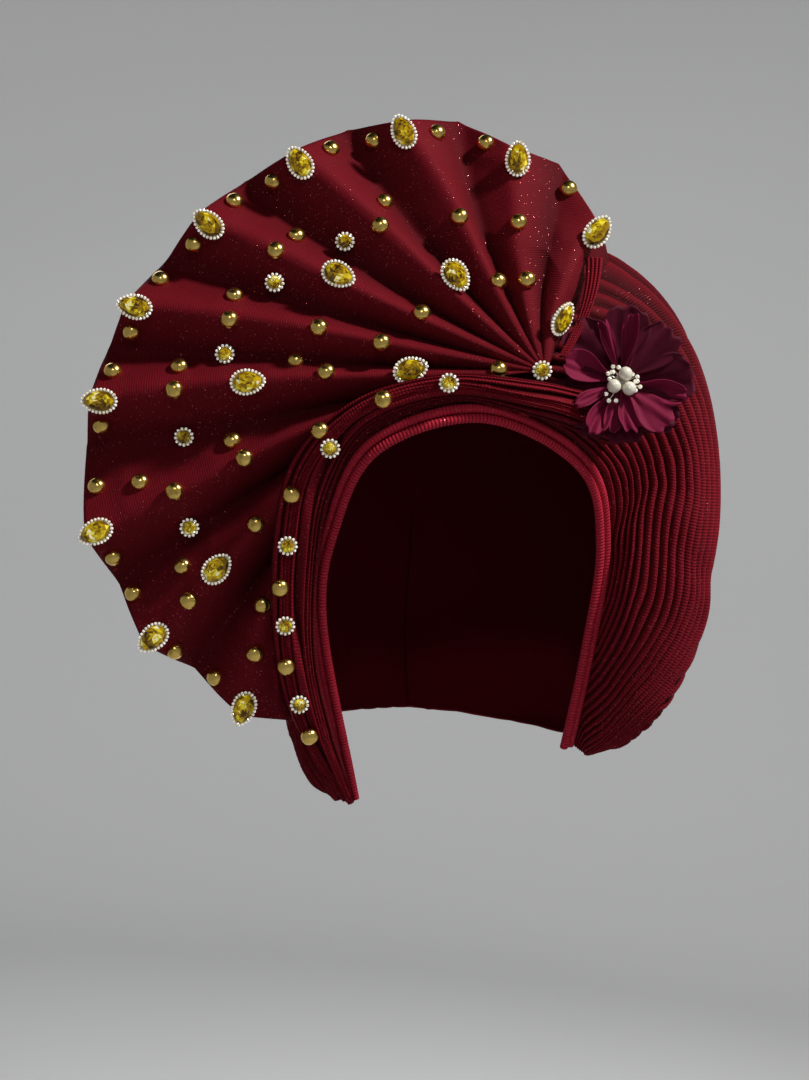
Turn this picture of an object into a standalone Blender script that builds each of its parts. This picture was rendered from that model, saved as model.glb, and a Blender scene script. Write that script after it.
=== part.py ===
# Tied gele head tie: a pleated head wrap with a pleated fan, brow folds, face rolls, a flower,
# gems and studs.
# Metres, +Z up. The origin is the middle of the hollow for the head, and the wearer looks along -Y.
import math
from collections import namedtuple

import bmesh
import bpy
from mathutils import Matrix, Vector
from mathutils.bvhtree import BVHTree

# Cloth walls and the space between pieces
CLOTH_WALL = 0.0014
FAN_WALL_DEPTH = 0.0018
PIECE_GAP = 0.0003
SAME_PLACE = 0.00001
LOOK_AHEAD = 0.01

# The fan stands in a plane of its own: its gather point, and how far that plane is turned and leaned
GATHER = Vector((0.0152, -0.098, 0.0676))
FAN_TURN = math.radians(-11)
FAN_LEAN = math.radians(5)
FAN_DEPTH_GROWTH = 1.2
FAN_STEPS_PER_FLANK = 2
FAN_STEPS_OUT = 9
FAN_FACING_FOLDS = 0.3
FAN_FACING_OUT = 0.02
FAN_SPLIT = 14
FAN_SPLIT_GAP = 0.03

# One row for each fold line of the fan, from its right-hand edge round to its lower left edge. Turns
# are degrees round the gather, reaches are distances from it, and depth is how far the rim lies
# towards the viewer.
Fold = namedtuple("Fold", "name rim_turn rim_reach rim_depth mid_turn root_turn root_reach")
FOLDS = (
    Fold("right_edge", 59.5, 0.072, -0.058, 62, 66, 0.008),
    Fold("ridge_0", 69.5, 0.081, -0.031, 77, 86, 0.008),
    Fold("valley_0", 84.5, 0.109, -0.049, 88, 97, 0.008),
    Fold("ridge_1", 96.0, 0.116, -0.043, 100, 108, 0.008),
    Fold("valley_1", 106.5, 0.139, -0.064, 112, 116, 0.008),
    Fold("ridge_2", 118.7, 0.146, -0.042, 117, 124, 0.008),
    Fold("valley_2", 126.8, 0.160, -0.059, 131, 133, 0.008),
    Fold("ridge_3", 137.4, 0.165, -0.034, 137, 141, 0.008),
    Fold("valley_3", 145.9, 0.178, -0.050, 149, 150, 0.008),
    Fold("ridge_4", 154.8, 0.186, -0.026, 155.5, 157, 0.008),
    Fold("valley_4", 162.5, 0.195, -0.041, 163.5, 164, 0.008),
    Fold("ridge_5", 170.7, 0.206, -0.018, 169, 171, 0.008),
    Fold("valley_5", 176.2, 0.214, -0.034, 176.7, 177, 0.008),
    Fold("ridge_6", 183.4, 0.220, -0.013, 181, 182, 0.008),
    Fold("valley_6", 188.6, 0.227, -0.035, 188.8, 185, 0.036),
    Fold("ridge_7", 199.3, 0.235, -0.016, 196.5, 189.5, 0.088),
    Fold("valley_7", 206.1, 0.233, -0.043, 203, 197, 0.106),
    Fold("ridge_8", 214.0, 0.235, -0.028, 210.5, 204, 0.128),
    Fold("valley_8", 219.9, 0.226, -0.057, 216.5, 211, 0.138),
    Fold("ridge_9", 228.6, 0.224, -0.044, 221, 215, 0.146),
    Fold("lower_edge", 234.0, 0.212, -0.056, 229.5, 224, 0.165),
)

# Strip of the fan that turns back beside the gather: its two ends, its widths and its fine folds
StripEnd = namedtuple("StripEnd", "across up depth width")
STRIP_TOP = StripEnd(0.0262, 0.0585, -0.0260, 0.0085)
STRIP_FOOT = StripEnd(0.0072, 0.0090, 0.0002, 0.0070)
STRIP_BOW = 0.0040
STRIP_FOLDS = 4
STRIP_RIDGE = 0.0008
STRIP_STEPS = 6

# Edge of the face opening, from its right foot over the forehead to its left foot
FACE_EDGE = (
    Vector((0.0670, -0.002, -0.1212)),
    Vector((0.0642, -0.028, -0.0660)),
    Vector((0.0600, -0.048, -0.0125)),
    Vector((0.0410, -0.068, 0.0235)),
    Vector((-0.0105, -0.087, 0.0415)),
    Vector((-0.0558, -0.080, 0.0228)),
    Vector((-0.0688, -0.056, -0.0150)),
    Vector((-0.0690, -0.038, -0.0630)),
    Vector((-0.0400, -0.003, -0.1540)),
)
ROLL_RADIUS = 0.0021
ROLL_STEPS = 34
ROLL_SIDES = 2
HEAD_HALF_WIDTH = 0.076
EDGE_WRAP = 0.7

# Sections through the brow folds, from under the flower over the forehead and down to the left tip
BrowSection = namedtuple("BrowSection", "outer inner")
BROW_SECTIONS = (
    BrowSection(Vector((0.0580, -0.0830, 0.0600)), Vector((0.0560, -0.0720, 0.0360))),
    BrowSection(Vector((0.0100, -0.1003, 0.0630)), Vector((0.0180, -0.0930, 0.0440))),
    BrowSection(Vector((-0.0315, -0.0945, 0.0616)), Vector((-0.0250, -0.0950, 0.0490))),
    BrowSection(Vector((-0.0723, -0.0830, 0.0459)), Vector((-0.0626, -0.0860, 0.0331))),
    BrowSection(Vector((-0.0983, -0.0700, 0.0159)), Vector((-0.0751, -0.0720, 0.0045))),
    BrowSection(Vector((-0.1030, -0.0590, -0.0262)), Vector((-0.0773, -0.0560, -0.0340))),
    BrowSection(Vector((-0.0960, -0.0430, -0.0760)), Vector((-0.0715, -0.0400, -0.0800))),
    BrowSection(Vector((-0.0800, -0.0260, -0.1150)), Vector((-0.0575, -0.0240, -0.1180))),
    BrowSection(Vector((-0.0500, -0.0080, -0.1520)), Vector((-0.0420, -0.0070, -0.1540))),
)
BROW_LANES = 9
BROW_RIDGE = 0.0017
BROW_SWELL = 0.0035
BROW_STEPS = 17

# Arches through the head wrap, from the face edge to the seam at the nape
Arch = namedtuple("Arch", "name foot_right side_right top side_left foot_left")
ARCHES = (
    Arch("cheek", (0.0805, 0.000, -0.1225), (0.086, -0.055, 0.008), (-0.005, -0.0820, 0.062),
         (-0.0842, -0.040, -0.010), (-0.0540, 0.005, -0.1525)),
    Arch("puff", (0.0850, 0.006, -0.1230), (0.116, -0.044, -0.004), (0.012, -0.0670, 0.099),
         (-0.087, -0.026, -0.005), (-0.0605, 0.016, -0.1430)),
    Arch("brim", (0.0900, 0.014, -0.1200), (0.140, -0.004, -0.016), (0.030, -0.0160, 0.141),
         (-0.088, -0.002, 0.000), (-0.0630, 0.028, -0.1310)),
    Arch("behind", (0.082, 0.038, -0.1180), (0.135, 0.044, -0.014), (0.026, 0.0320, 0.146),
         (-0.087, 0.032, 0.000), (-0.0570, 0.044, -0.1230)),
    Arch("back", (0.062, 0.064, -0.1160), (0.106, 0.086, -0.010), (0.016, 0.0800, 0.118),
         (-0.076, 0.072, -0.005), (-0.044, 0.062, -0.117)),
    Arch("nape", (0.034, 0.080, -0.1140), (0.058, 0.114, -0.020), (0.008, 0.1120, 0.064),
         (-0.044, 0.106, -0.020), (-0.024, 0.076, -0.115)),
    Arch("seam", (0.0018, 0.087, -0.1130), (0.0018, 0.123, -0.050), (0.0014, 0.1260, -0.004),
         (0.001, 0.123, -0.050), (0.001, 0.087, -0.113)),
)
SIDE_FULLNESS = 2.4
FOOT_FULLNESS = 2.0
WRAP_FRONT_LANES = 15
WRAP_BACK_LANES = 9
WRAP_RIDGE = 0.0012
WRAP_START = 0.0108
WRAP_STEPS = 17
WRAP_SPLIT_GAP = 0.002
BRIM_SHARE = 3 / len(ARCHES)

# Studs: the fold line of the fan, or the share of the brow folds' width, that each is on, and its
# share of the way out or along
Stud = namedtuple("Stud", "fold out")
STUD_RADIUS = 0.0040
STUD_HEIGHT = 0.0036
STUD_SINK = 0.0009
STUD_SIDES = 6
STUD_RINGS = 4
FAN_STUDS = (
    Stud(1.70, 0.950), Stud(2.85, 0.385), Stud(3.00, 0.645), Stud(3.50, 0.955), Stud(4.50, 0.940),
    Stud(4.60, 0.335), Stud(5.05, 0.585), Stud(5.65, 0.940), Stud(6.30, 0.715), Stud(6.50, 0.955),
    Stud(7.05, 0.640), Stud(7.65, 0.950), Stud(8.35, 0.765), Stud(8.45, 0.965), Stud(8.75, 0.345),
    Stud(9.00, 0.765), Stud(9.50, 0.960), Stud(10.40, 0.775), Stud(10.40, 0.970), Stud(10.95, 0.530),
    Stud(11.05, 0.375), Stud(11.10, 0.740), Stud(11.55, 0.960), Stud(12.05, 0.085), Stud(12.05, 0.550),
    Stud(12.45, 0.810), Stud(12.50, 0.965), Stud(12.80, 0.460), Stud(13.05, 0.800), Stud(13.55, 0.965),
    Stud(14.35, 0.570), Stud(14.50, 0.965), Stud(14.60, 0.825), Stud(15.00, 0.420), Stud(14.95, 0.680),
    Stud(15.50, 0.958), Stud(16.25, 0.958), Stud(16.45, 0.705), Stud(16.90, 0.285), Stud(17.00, 0.715),
    Stud(17.45, 0.955), Stud(18.40, 0.940), Stud(18.90, 0.400), Stud(19.10, 0.650),
)
BROW_STUDS = (
    Stud(0.41, 0.340), Stud(0.10, 0.440), Stud(0.22, 0.543), Stud(0.17, 0.670), Stud(0.20, 0.770),
    Stud(0.30, 0.883),
)

# Gems: where each one is, as for the studs, where its tip points in degrees round the fan's plane,
# and how far it is tipped to one side
Gem = namedtuple("Gem", "fold out tip tilt")
RIM_GEMS = (
    Gem(0.85, 0.955, 55, 0), Gem(2.95, 0.945, 88, 0), Gem(5.08, 0.950, 112, 0),
    Gem(7.12, 0.955, 122, 0), Gem(9.08, 0.960, 138, 0), Gem(11.00, 0.975, 168, 0),
    Gem(13.05, 0.975, 178, 0), Gem(15.03, 0.965, 205, 0), Gem(17.03, 0.953, 222, 0),
    Gem(19.03, 0.963, 250, 0),
)
DROP_GEMS = (
    Gem(8.80, 0.590, -25, 0), Gem(6.00, 0.385, -55, 0), Gem(13.05, 0.630, 5, 0),
    Gem(12.50, 0.275, 18, 0), Gem(17.00, 0.525, 48, 0), Gem(0.95, 0.330, 62, 45),
)
ROUND_FAN_GEMS = (
    Gem(7.75, 0.665, 90, 0), Gem(9.70, 0.715, 90, 0), Gem(11.95, 0.720, 90, 0), Gem(14.05, 0.735, 90, 0),
    Gem(15.85, 0.650, 90, 0),
)
ROUND_BROW_GEMS = (
    Gem(0.33, 0.253, 90, 0), Gem(0.57, 0.447, 90, 0), Gem(0.28, 0.613, 90, 0), Gem(0.27, 0.713, 90, 0),
    Gem(0.33, 0.827, 90, 0),
)
GatherGem = namedtuple("GatherGem", "across up depth")
GATHER_GEM = GatherGem(-0.0014, 0.0006, 0.004)
RIM_GEM_SIZE = (0.0140, 0.0185, 0.0050)
DROP_GEM_SIZE = (0.0140, 0.0180, 0.0050)
ROUND_GEM_SIZE = (0.0100, 0.0100, 0.0038)
GEM_SIDES = 10
GEM_PLATE = 0.0016
GEM_TABLE_SHARE = 0.5
GEM_POINT = 0.45
SEAT_STEP = 0.0001
SEAT_START = 0.004

# The flower: its middle, the way it faces, and its two layers of petals
FLOWER_MIDDLE = Vector((0.0560, -0.082, 0.0670))
FLOWER_FACING = Vector((-0.12, -1.0, 0.0))
Layer = namedtuple("Layer", "name petals reach notch lift turn start")
FLOWER_LAYERS = (
    Layer("flower_back", 5, 0.034, 0.62, 0.003, 34, 0.0),
    Layer("flower_front", 5, 0.029, 0.58, 0.010, 70, 0.0016),
)
PETAL_WALL = 0.0010
PETAL_STEPS = 6
PETAL_RINGS = 3
PETAL_CURL = 2.2
PETAL_ROUNDNESS = 0.6
NOTCH_LIFT = 0.6
FLOWER_EYE = 0.0025

# The flower's centre: a plate with five arms that each end in a stone, and three pearls on it
Arm = namedtuple("Arm", "turn reach")
SPRIG_ARMS = (Arm(18, 0.0078), Arm(121, 0.0085), Arm(150, 0.0078), Arm(235, 0.0112), Arm(345, 0.0091))
SPRIG_START = 0.0030
SPRIG_DISC = 0.0045
SPRIG_WALL = 0.0012
SPRIG_ARM = 0.0010
SPRIG_ARM_SHARE = 0.6
SPRIG_LIFT = 0.00025
STONE_RADIUS = 0.0016
Pearl = namedtuple("Pearl", "across up")
PEARLS = (Pearl(0.0012, 0.0037), Pearl(-0.0044, -0.0023), Pearl(0.0030, -0.0034))
PEARL_RADIUS = 0.0034

# Materials, with the colours that the cloth, metal and stones show
Look = namedtuple("Look", "name colour roughness metallic")
WINE = Look("wine_cloth", (0.16, 0.012, 0.022, 1), 0.55, 0.0)
PLUM = Look("plum_chiffon", (0.22, 0.02, 0.05, 1), 0.60, 0.0)
GOLD = Look("gold", (0.83, 0.55, 0.13, 1), 0.25, 1.0)
AMBER = Look("amber_glass", (0.80, 0.42, 0.02, 1), 0.05, 0.0)
CREAM = Look("pearl", (0.85, 0.78, 0.66, 1), 0.25, 0.0)
SILVER = Look("silver", (0.80, 0.80, 0.80, 1), 0.20, 1.0)
SMOOTH_ANGLE = math.radians(60)


def clear_scene():
    for thing in list(bpy.data.objects):
        bpy.data.objects.remove(thing, do_unlink=True)


def finish(look):
    material = bpy.data.materials.new(look.name)
    material.use_nodes = True
    shader = material.node_tree.nodes["Principled BSDF"]
    shader.inputs["Base Color"].default_value = look.colour
    shader.inputs["Roughness"].default_value = look.roughness
    shader.inputs["Metallic"].default_value = look.metallic
    return material


def add_object(name, shape, material, round_shape=False):
    data = bpy.data.meshes.new(name)
    shape.to_mesh(data)
    shape.free()
    thing = bpy.data.objects.new(name, data)
    bpy.context.scene.collection.objects.link(thing)
    data.materials.append(material)
    if round_shape:
        data.shade_smooth()
        data.set_sharp_from_angle(angle=SMOOTH_ANGLE)
    return thing


def between(low, high, share):
    return low + (high - low) * share


# A smooth curve through points, read at a share of the way along it
def smooth(points, share):
    spans = len(points) - 1
    place = min(max(share, 0.0), 1.0) * spans
    first = min(int(place), spans - 1)
    part = place - first
    here, there = points[first], points[first + 1]
    before = points[first - 1] if first > 0 else here * 2 - there
    after = points[first + 2] if first + 2 <= spans else there * 2 - here
    return 0.5 * (
        here * 2
        + (there - before) * part
        + (before * 2 - here * 5 + there * 4 - after) * part ** 2
        + (here * 3 - before - there * 3 + after) * part ** 3
    )


# Height of a row of folds over its lanes: 0 in each dip and 1 on each ridge
def ridge_height(lane):
    return 1 - abs(2 * (lane % 1.0) - 1)


def fan_axes():
    level = Vector((math.cos(FAN_TURN), math.sin(FAN_TURN), 0))
    upright = Vector((0, 0, 1))
    across = level * math.cos(FAN_LEAN) + upright * math.sin(FAN_LEAN)
    up = upright * math.cos(FAN_LEAN) - level * math.sin(FAN_LEAN)
    return across, up, across.cross(up)


FAN_ACROSS, FAN_UP, FAN_TOWARDS = fan_axes()


def on_fan_plane(across, up, depth):
    return GATHER + FAN_ACROSS * across + FAN_UP * up + FAN_TOWARDS * depth


def fold_point(fold, out):
    reach = between(fold.root_reach, fold.rim_reach, out)
    turn = math.radians(
        fold.root_turn * (1 - out) * (1 - 2 * out)
        + fold.mid_turn * 4 * out * (1 - out)
        + fold.rim_turn * out * (2 * out - 1)
    )
    depth = fold.rim_depth * (reach / fold.rim_reach) ** FAN_DEPTH_GROWTH
    return on_fan_plane(reach * math.cos(turn), reach * math.sin(turn), depth)


def fan_point(fold, out):
    first = min(max(int(fold), 0), len(FOLDS) - 2)
    return between(fold_point(FOLDS[first], out), fold_point(FOLDS[first + 1], out), fold - first)


def face_edge(along, outward):
    point = smooth(FACE_EDGE, along)
    ahead = smooth(FACE_EDGE, min(along + LOOK_AHEAD, 1)) - smooth(FACE_EDGE, max(along - LOOK_AHEAD, 0))
    facing = Vector((EDGE_WRAP * point.x / HEAD_HALF_WIDTH, -1, 0)).normalized()
    return point + ahead.normalized().cross(facing) * outward


def brow_base(lane, along):
    outer = smooth([section.outer for section in BROW_SECTIONS], along)
    inner = smooth([section.inner for section in BROW_SECTIONS], along)
    return between(outer, inner, lane)


# A quarter of an arch, from its widest point to its top or its foot
def quarter(side, end, share, fullness):
    angle = share * math.pi / 2
    out = math.cos(angle) ** (2 / fullness)
    rise = math.sin(angle) ** (2 / fullness)
    middle = math.sin(angle) ** 2
    return Vector((
        between(end.x, side.x, out), between(side.y, end.y, middle), between(side.z, end.z, rise)
    ))


def arch_point(arch, along):
    foot_right, side_right, top, side_left, foot_left = (Vector(place) for place in arch[1:])
    part = along * 4
    if part <= 1:
        return quarter(side_right, foot_right, 1 - part, FOOT_FULLNESS)
    if part <= 2:
        return quarter(side_right, top, part - 1, SIDE_FULLNESS)
    if part <= 3:
        return quarter(side_left, top, 3 - part, SIDE_FULLNESS)
    return quarter(side_left, foot_left, part - 3, FOOT_FULLNESS)


def wrap_base(back, along):
    edge = face_edge(along, WRAP_START)
    return smooth([edge] + [arch_point(arch, along) for arch in ARCHES], back)


# The way a bent sheet faces at a place on it
def facing_of(base, across, along):
    side = base(min(across + LOOK_AHEAD, 1), along) - base(max(across - LOOK_AHEAD, 0), along)
    ahead = base(across, min(along + LOOK_AHEAD, 1)) - base(across, max(along - LOOK_AHEAD, 0))
    return side.cross(ahead).normalized()


def brow_facing(lane, along):
    return -facing_of(brow_base, lane, along)


def wrap_facing(back, along):
    return facing_of(wrap_base, back, along)


# How far back a lane of the head wrap is, as a share of the way from the face edge to the seam
def wrap_share(lane):
    if lane < WRAP_FRONT_LANES:
        return BRIM_SHARE * lane / WRAP_FRONT_LANES
    return between(BRIM_SHARE, 1, (lane - WRAP_FRONT_LANES) / WRAP_BACK_LANES)


# A closed cloth wall: a grid bent to the front face, and its copy bent to the back face. A ring's
# two ends join.
def cloth_wall(columns, rows, front, back, ring=False):
    shape = bmesh.new()
    bmesh.ops.create_grid(shape, x_segments=columns, y_segments=rows, size=0.5)
    across = shape.verts.layers.float.new("across")
    along = shape.verts.layers.float.new("along")
    for vertex in shape.verts:
        vertex[across] = vertex.co.x + 0.5
        vertex[along] = vertex.co.y + 0.5
        vertex.co = front(vertex[across], vertex[along])
    if ring:
        bmesh.ops.remove_doubles(shape, verts=shape.verts[:], dist=SAME_PLACE)
    copied = bmesh.ops.extrude_face_region(shape, geom=shape.faces[:], use_keep_orig=True)
    for part in copied["geom"]:
        if isinstance(part, bmesh.types.BMVert):
            part.co = back(part[across], part[along])
    bmesh.ops.recalc_face_normals(shape, faces=shape.faces[:])
    if shape.calc_volume(signed=True) < 0:
        bmesh.ops.reverse_faces(shape, faces=shape.faces[:])
    return shape


def dome(radius, height):
    shape = bmesh.new()
    bmesh.ops.create_uvsphere(shape, u_segments=STUD_SIDES, v_segments=STUD_RINGS, radius=radius)
    below = [vertex for vertex in shape.verts if vertex.co.z < -SAME_PLACE]
    bmesh.ops.delete(shape, geom=below, context="VERTS")
    bmesh.ops.holes_fill(shape, edges=shape.edges[:])
    bmesh.ops.scale(shape, vec=(1, 1, height / radius), verts=shape.verts[:])
    return shape


# A gem in its setting: a plate, then a stone that narrows to its table. A drop is pointed at one end.
def gem_shape(size, point):
    width, length, height = size
    shape = bmesh.new()
    plate = bmesh.ops.create_cone(
        shape, cap_ends=True, segments=GEM_SIDES, radius1=0.5, radius2=0.5, depth=GEM_PLATE
    )
    bmesh.ops.translate(shape, vec=(0, 0, GEM_PLATE / 2), verts=plate["verts"])
    for vertex in plate["verts"]:
        turn = math.atan2(vertex.co.x, -vertex.co.y)
        narrow = abs(math.cos(turn / 2)) ** point if point else 1
        vertex.co.x *= width * narrow
        vertex.co.y *= length
    girdle = bmesh.ops.extrude_discrete_faces(shape, faces=top_faces(shape))["faces"]
    bmesh.ops.scale(shape, vec=(GEM_TABLE_SHARE, GEM_TABLE_SHARE, 1), verts=girdle[0].verts)
    bmesh.ops.translate(shape, vec=(0, 0, height - GEM_PLATE), verts=girdle[0].verts)
    bmesh.ops.recalc_face_normals(shape, faces=shape.faces[:])
    return shape


def top_faces(shape):
    highest = max(face.calc_center_median().z for face in shape.faces)
    return [face for face in shape.faces if face.calc_center_median().z > highest - SAME_PLACE]


# Where a piece stands: its middle, the way it faces, and the way its tip points round the fan's plane
def standing(middle, facing, tip=90.0, tilt=0.0):
    towards = facing.normalized()
    wish = FAN_ACROSS * math.cos(math.radians(tip)) + FAN_UP * math.sin(math.radians(tip))
    side = wish.cross(towards).normalized()
    ahead = towards.cross(side)
    turned = Matrix((side, ahead, towards)).transposed().to_4x4()
    return Matrix.Translation(middle) @ turned @ Matrix.Rotation(math.radians(tilt), 4, "Y")


def fan_facing(fold, out):
    low = max(fold - FAN_FACING_FOLDS, 0)
    high = min(fold + FAN_FACING_FOLDS, len(FOLDS) - 1)
    side = fan_point(high, out) - fan_point(low, out)
    ahead = fan_point(fold, min(out + FAN_FACING_OUT, 1)) - fan_point(fold, max(out - FAN_FACING_OUT, 0))
    return ahead.cross(side).normalized()


def brow_top(lane, along):
    swell = BROW_SWELL * 4 * lane * (1 - lane)
    height = BROW_RIDGE * ridge_height(lane * BROW_LANES)
    return brow_base(lane, along) + brow_facing(lane, along) * (swell + height)


def brow_under(lane, along):
    swell = BROW_SWELL * 4 * lane * (1 - lane)
    return brow_base(lane, along) + brow_facing(lane, along) * (swell - CLOTH_WALL)


def brow_place(lane, along):
    return standing(brow_top(lane, along), brow_facing(lane, along))


def fan_place(fold, out):
    return standing(fan_point(fold, out), fan_facing(fold, out))


def add_studs(cloth, places, material):
    studs = bmesh.new()
    for place in places:
        one = dome(STUD_RADIUS, STUD_HEIGHT)
        one.transform(place @ Matrix.Translation((0, 0, -STUD_SINK)))
        copy = bpy.data.meshes.new("stud")
        one.to_mesh(copy)
        one.free()
        studs.from_mesh(copy)
        bpy.data.meshes.remove(copy)
    cutter = add_object(cloth.name + "_studs", studs, material)
    cutter.hide_render = True
    cutter.display_type = "WIRE"
    join = cloth.modifiers.new("studs", "BOOLEAN")
    join.operation = "UNION"
    join.object = cutter


def surface_of(things):
    corners = []
    faces = []
    for thing in things:
        first = len(corners)
        corners.extend(thing.matrix_world @ vertex.co for vertex in thing.data.vertices)
        faces.extend([first + corner for corner in face.vertices] for face in thing.data.polygons)
    return BVHTree.FromPolygons(corners, faces)


# Lifts a shape along the way it faces until it lies just off the cloth, and gives its place there
def seat(shape, place, cloth):
    lift = -SEAT_START
    while True:
        there = place @ Matrix.Translation((0, 0, lift))
        trial = shape.copy()
        trial.transform(there)
        touching = BVHTree.FromBMesh(trial).overlap(cloth)
        trial.free()
        if not touching:
            return there @ Matrix.Translation((0, 0, PIECE_GAP - SEAT_STEP / 2))
        lift += SEAT_STEP


# The fan's sheet from one fold line to another. Its two solids meet along one dip.
def make_fan(name, first, last, start, cloth):
    towards = FAN_TOWARDS * (FAN_WALL_DEPTH / 2)

    def point(across, out):
        fold = between(first, last, across)
        return fan_point(max(fold, start), out)

    shape = cloth_wall(
        (last - first) * FAN_STEPS_PER_FLANK, FAN_STEPS_OUT,
        lambda across, out: point(across, out) + towards,
        lambda across, out: point(across, out) - towards,
    )
    return add_object(name, shape, cloth)


def strip_point(side, along):
    middle = on_fan_plane(
        between(STRIP_TOP.across, STRIP_FOOT.across, along) + STRIP_BOW * 4 * along * (1 - along),
        between(STRIP_TOP.up, STRIP_FOOT.up, along),
        between(STRIP_TOP.depth, STRIP_FOOT.depth, along),
    )
    width = between(STRIP_TOP.width, STRIP_FOOT.width, along)
    height = STRIP_RIDGE * ridge_height(side * STRIP_FOLDS)
    return middle + FAN_ACROSS * (width * (side - 0.5)) + FAN_TOWARDS * height


def make_turnback(cloth):
    shape = cloth_wall(
        STRIP_FOLDS * 2, STRIP_STEPS, strip_point,
        lambda side, along: strip_point(side, along) - FAN_TOWARDS * CLOTH_WALL,
    )
    return add_object("fan_turnback", shape, cloth)


def make_brow(cloth):
    shape = cloth_wall(BROW_LANES * 2, BROW_STEPS, brow_top, brow_under)
    return add_object("brow_folds", shape, cloth)


# The head wrap from one lane to another. Its two solids meet behind the brim.
def make_wrap(name, first, last, start, cloth):
    def outside(across, along):
        lane = between(first, last, across)
        share = max(wrap_share(lane), start)
        height = WRAP_RIDGE * ridge_height(lane)
        return wrap_base(share, along) + wrap_facing(share, along) * height

    def inside(across, along):
        share = max(wrap_share(between(first, last, across)), start)
        return wrap_base(share, along) - wrap_facing(share, along) * CLOTH_WALL

    shape = cloth_wall((last - first) * 2, WRAP_STEPS, outside, inside)
    return add_object(name, shape, cloth)


def make_roll(name, outward, cloth):
    data = bpy.data.curves.new(name, "CURVE")
    data.dimensions = "3D"
    data.bevel_depth = ROLL_RADIUS
    data.bevel_resolution = ROLL_SIDES
    data.use_fill_caps = True
    line = data.splines.new("POLY")
    line.points.add(ROLL_STEPS)
    for step, point in enumerate(line.points):
        point.co = face_edge(step / ROLL_STEPS, outward).to_4d()
    roll = bpy.data.objects.new(name, data)
    data.materials.append(cloth)
    bpy.context.scene.collection.objects.link(roll)
    return roll


def petal_layer(layer):
    def bend(rise):
        def point(turn, out):
            angle = turn * 2 * math.pi
            lobe = abs(math.cos(layer.petals * angle / 2)) ** PETAL_ROUNDNESS
            reach = between(FLOWER_EYE, layer.reach * between(layer.notch, 1, lobe), out)
            height = layer.start + layer.lift * out ** PETAL_CURL * between(NOTCH_LIFT, 1, lobe)
            angle += math.radians(layer.turn)
            return Vector((reach * math.cos(angle), reach * math.sin(angle), height + rise))
        return point
    return cloth_wall(layer.petals * PETAL_STEPS, PETAL_RINGS, bend(PETAL_WALL), bend(0), ring=True)


def sprig_shape():
    disc = bmesh.new()
    bmesh.ops.create_cone(
        disc, cap_ends=True, segments=GEM_SIDES, radius1=SPRIG_DISC, radius2=SPRIG_DISC, depth=SPRIG_WALL
    )
    bmesh.ops.translate(disc, vec=(0, 0, SPRIG_WALL / 2), verts=disc.verts[:])
    return disc


def arm_shapes():
    arms = bmesh.new()
    stones = bmesh.new()
    for arm in SPRIG_ARMS:
        turn = Matrix.Rotation(math.radians(arm.turn), 4, "Z")
        length = arm.reach - SPRIG_START
        middle = Matrix.Translation(((arm.reach + SPRIG_START) / 2, 0, SPRIG_WALL / 2))
        stretch = Matrix.Diagonal((length, SPRIG_ARM, SPRIG_WALL * SPRIG_ARM_SHARE, 1))
        bmesh.ops.create_cube(arms, size=1, matrix=turn @ middle @ stretch)
        bmesh.ops.create_icosphere(
            stones, subdivisions=1, radius=STONE_RADIUS,
            matrix=turn @ Matrix.Translation((arm.reach, 0, SPRIG_WALL)),
        )
    return arms, stones


def make_sprig(place, material):
    shape = sprig_shape()
    shape.transform(place)
    sprig = add_object("flower_sprig", shape, material)
    for part, name in zip(arm_shapes(), ("sprig_arms", "sprig_stones")):
        part.transform(place)
        cutter = add_object(name, part, material)
        cutter.hide_render = True
        cutter.display_type = "WIRE"
        join = sprig.modifiers.new(name, "BOOLEAN")
        join.operation = "UNION"
        join.object = cutter


def make_flower(cloth, petals, metal, pearl):
    layers = [petal_layer(layer) for layer in FLOWER_LAYERS]
    place = seat(layers[0], standing(FLOWER_MIDDLE, FLOWER_FACING), cloth)
    for layer, shape in zip(FLOWER_LAYERS, layers):
        shape.transform(place)
        add_object(layer.name, shape, petals, round_shape=True)
    sprig_rise = FLOWER_LAYERS[1].start + PETAL_WALL + STONE_RADIUS + SPRIG_LIFT
    make_sprig(place @ Matrix.Translation((0, 0, sprig_rise)), metal)
    pearl_rise = sprig_rise + SPRIG_WALL + PIECE_GAP + PEARL_RADIUS
    for number, spot in enumerate(PEARLS):
        ball = bmesh.new()
        bmesh.ops.create_icosphere(ball, subdivisions=2, radius=PEARL_RADIUS)
        ball.transform(place @ Matrix.Translation((spot.across, spot.up, pearl_rise)))
        add_object(f"pearl_{number}", ball, pearl, round_shape=True)


def make_gem(name, size, point, place, cloth, material):
    shape = gem_shape(size, point)
    shape.transform(seat(shape, place, cloth))
    add_object(name, shape, material)


def make_gems(cloth, material):
    on_fan = [
        ("gem_rim", RIM_GEMS, RIM_GEM_SIZE, GEM_POINT),
        ("gem_drop", DROP_GEMS, DROP_GEM_SIZE, GEM_POINT),
        ("gem_round", ROUND_FAN_GEMS, ROUND_GEM_SIZE, 0),
    ]
    for name, gems, size, point in on_fan:
        for number, gem in enumerate(gems):
            place = standing(fan_point(gem.fold, gem.out), FAN_TOWARDS, gem.tip, gem.tilt)
            make_gem(f"{name}_{number}", size, point, place, cloth, material)
    first = len(ROUND_FAN_GEMS)
    for number, gem in enumerate(ROUND_BROW_GEMS):
        facing = brow_facing(gem.fold, gem.out) + FAN_TOWARDS
        place = standing(brow_top(gem.fold, gem.out), facing, gem.tip, gem.tilt)
        make_gem(f"gem_round_{first + number}", ROUND_GEM_SIZE, 0, place, cloth, material)
    place = standing(on_fan_plane(*GATHER_GEM), FAN_TOWARDS)
    last = first + len(ROUND_BROW_GEMS)
    make_gem(f"gem_round_{last}", ROUND_GEM_SIZE, 0, place, cloth, material)


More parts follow.
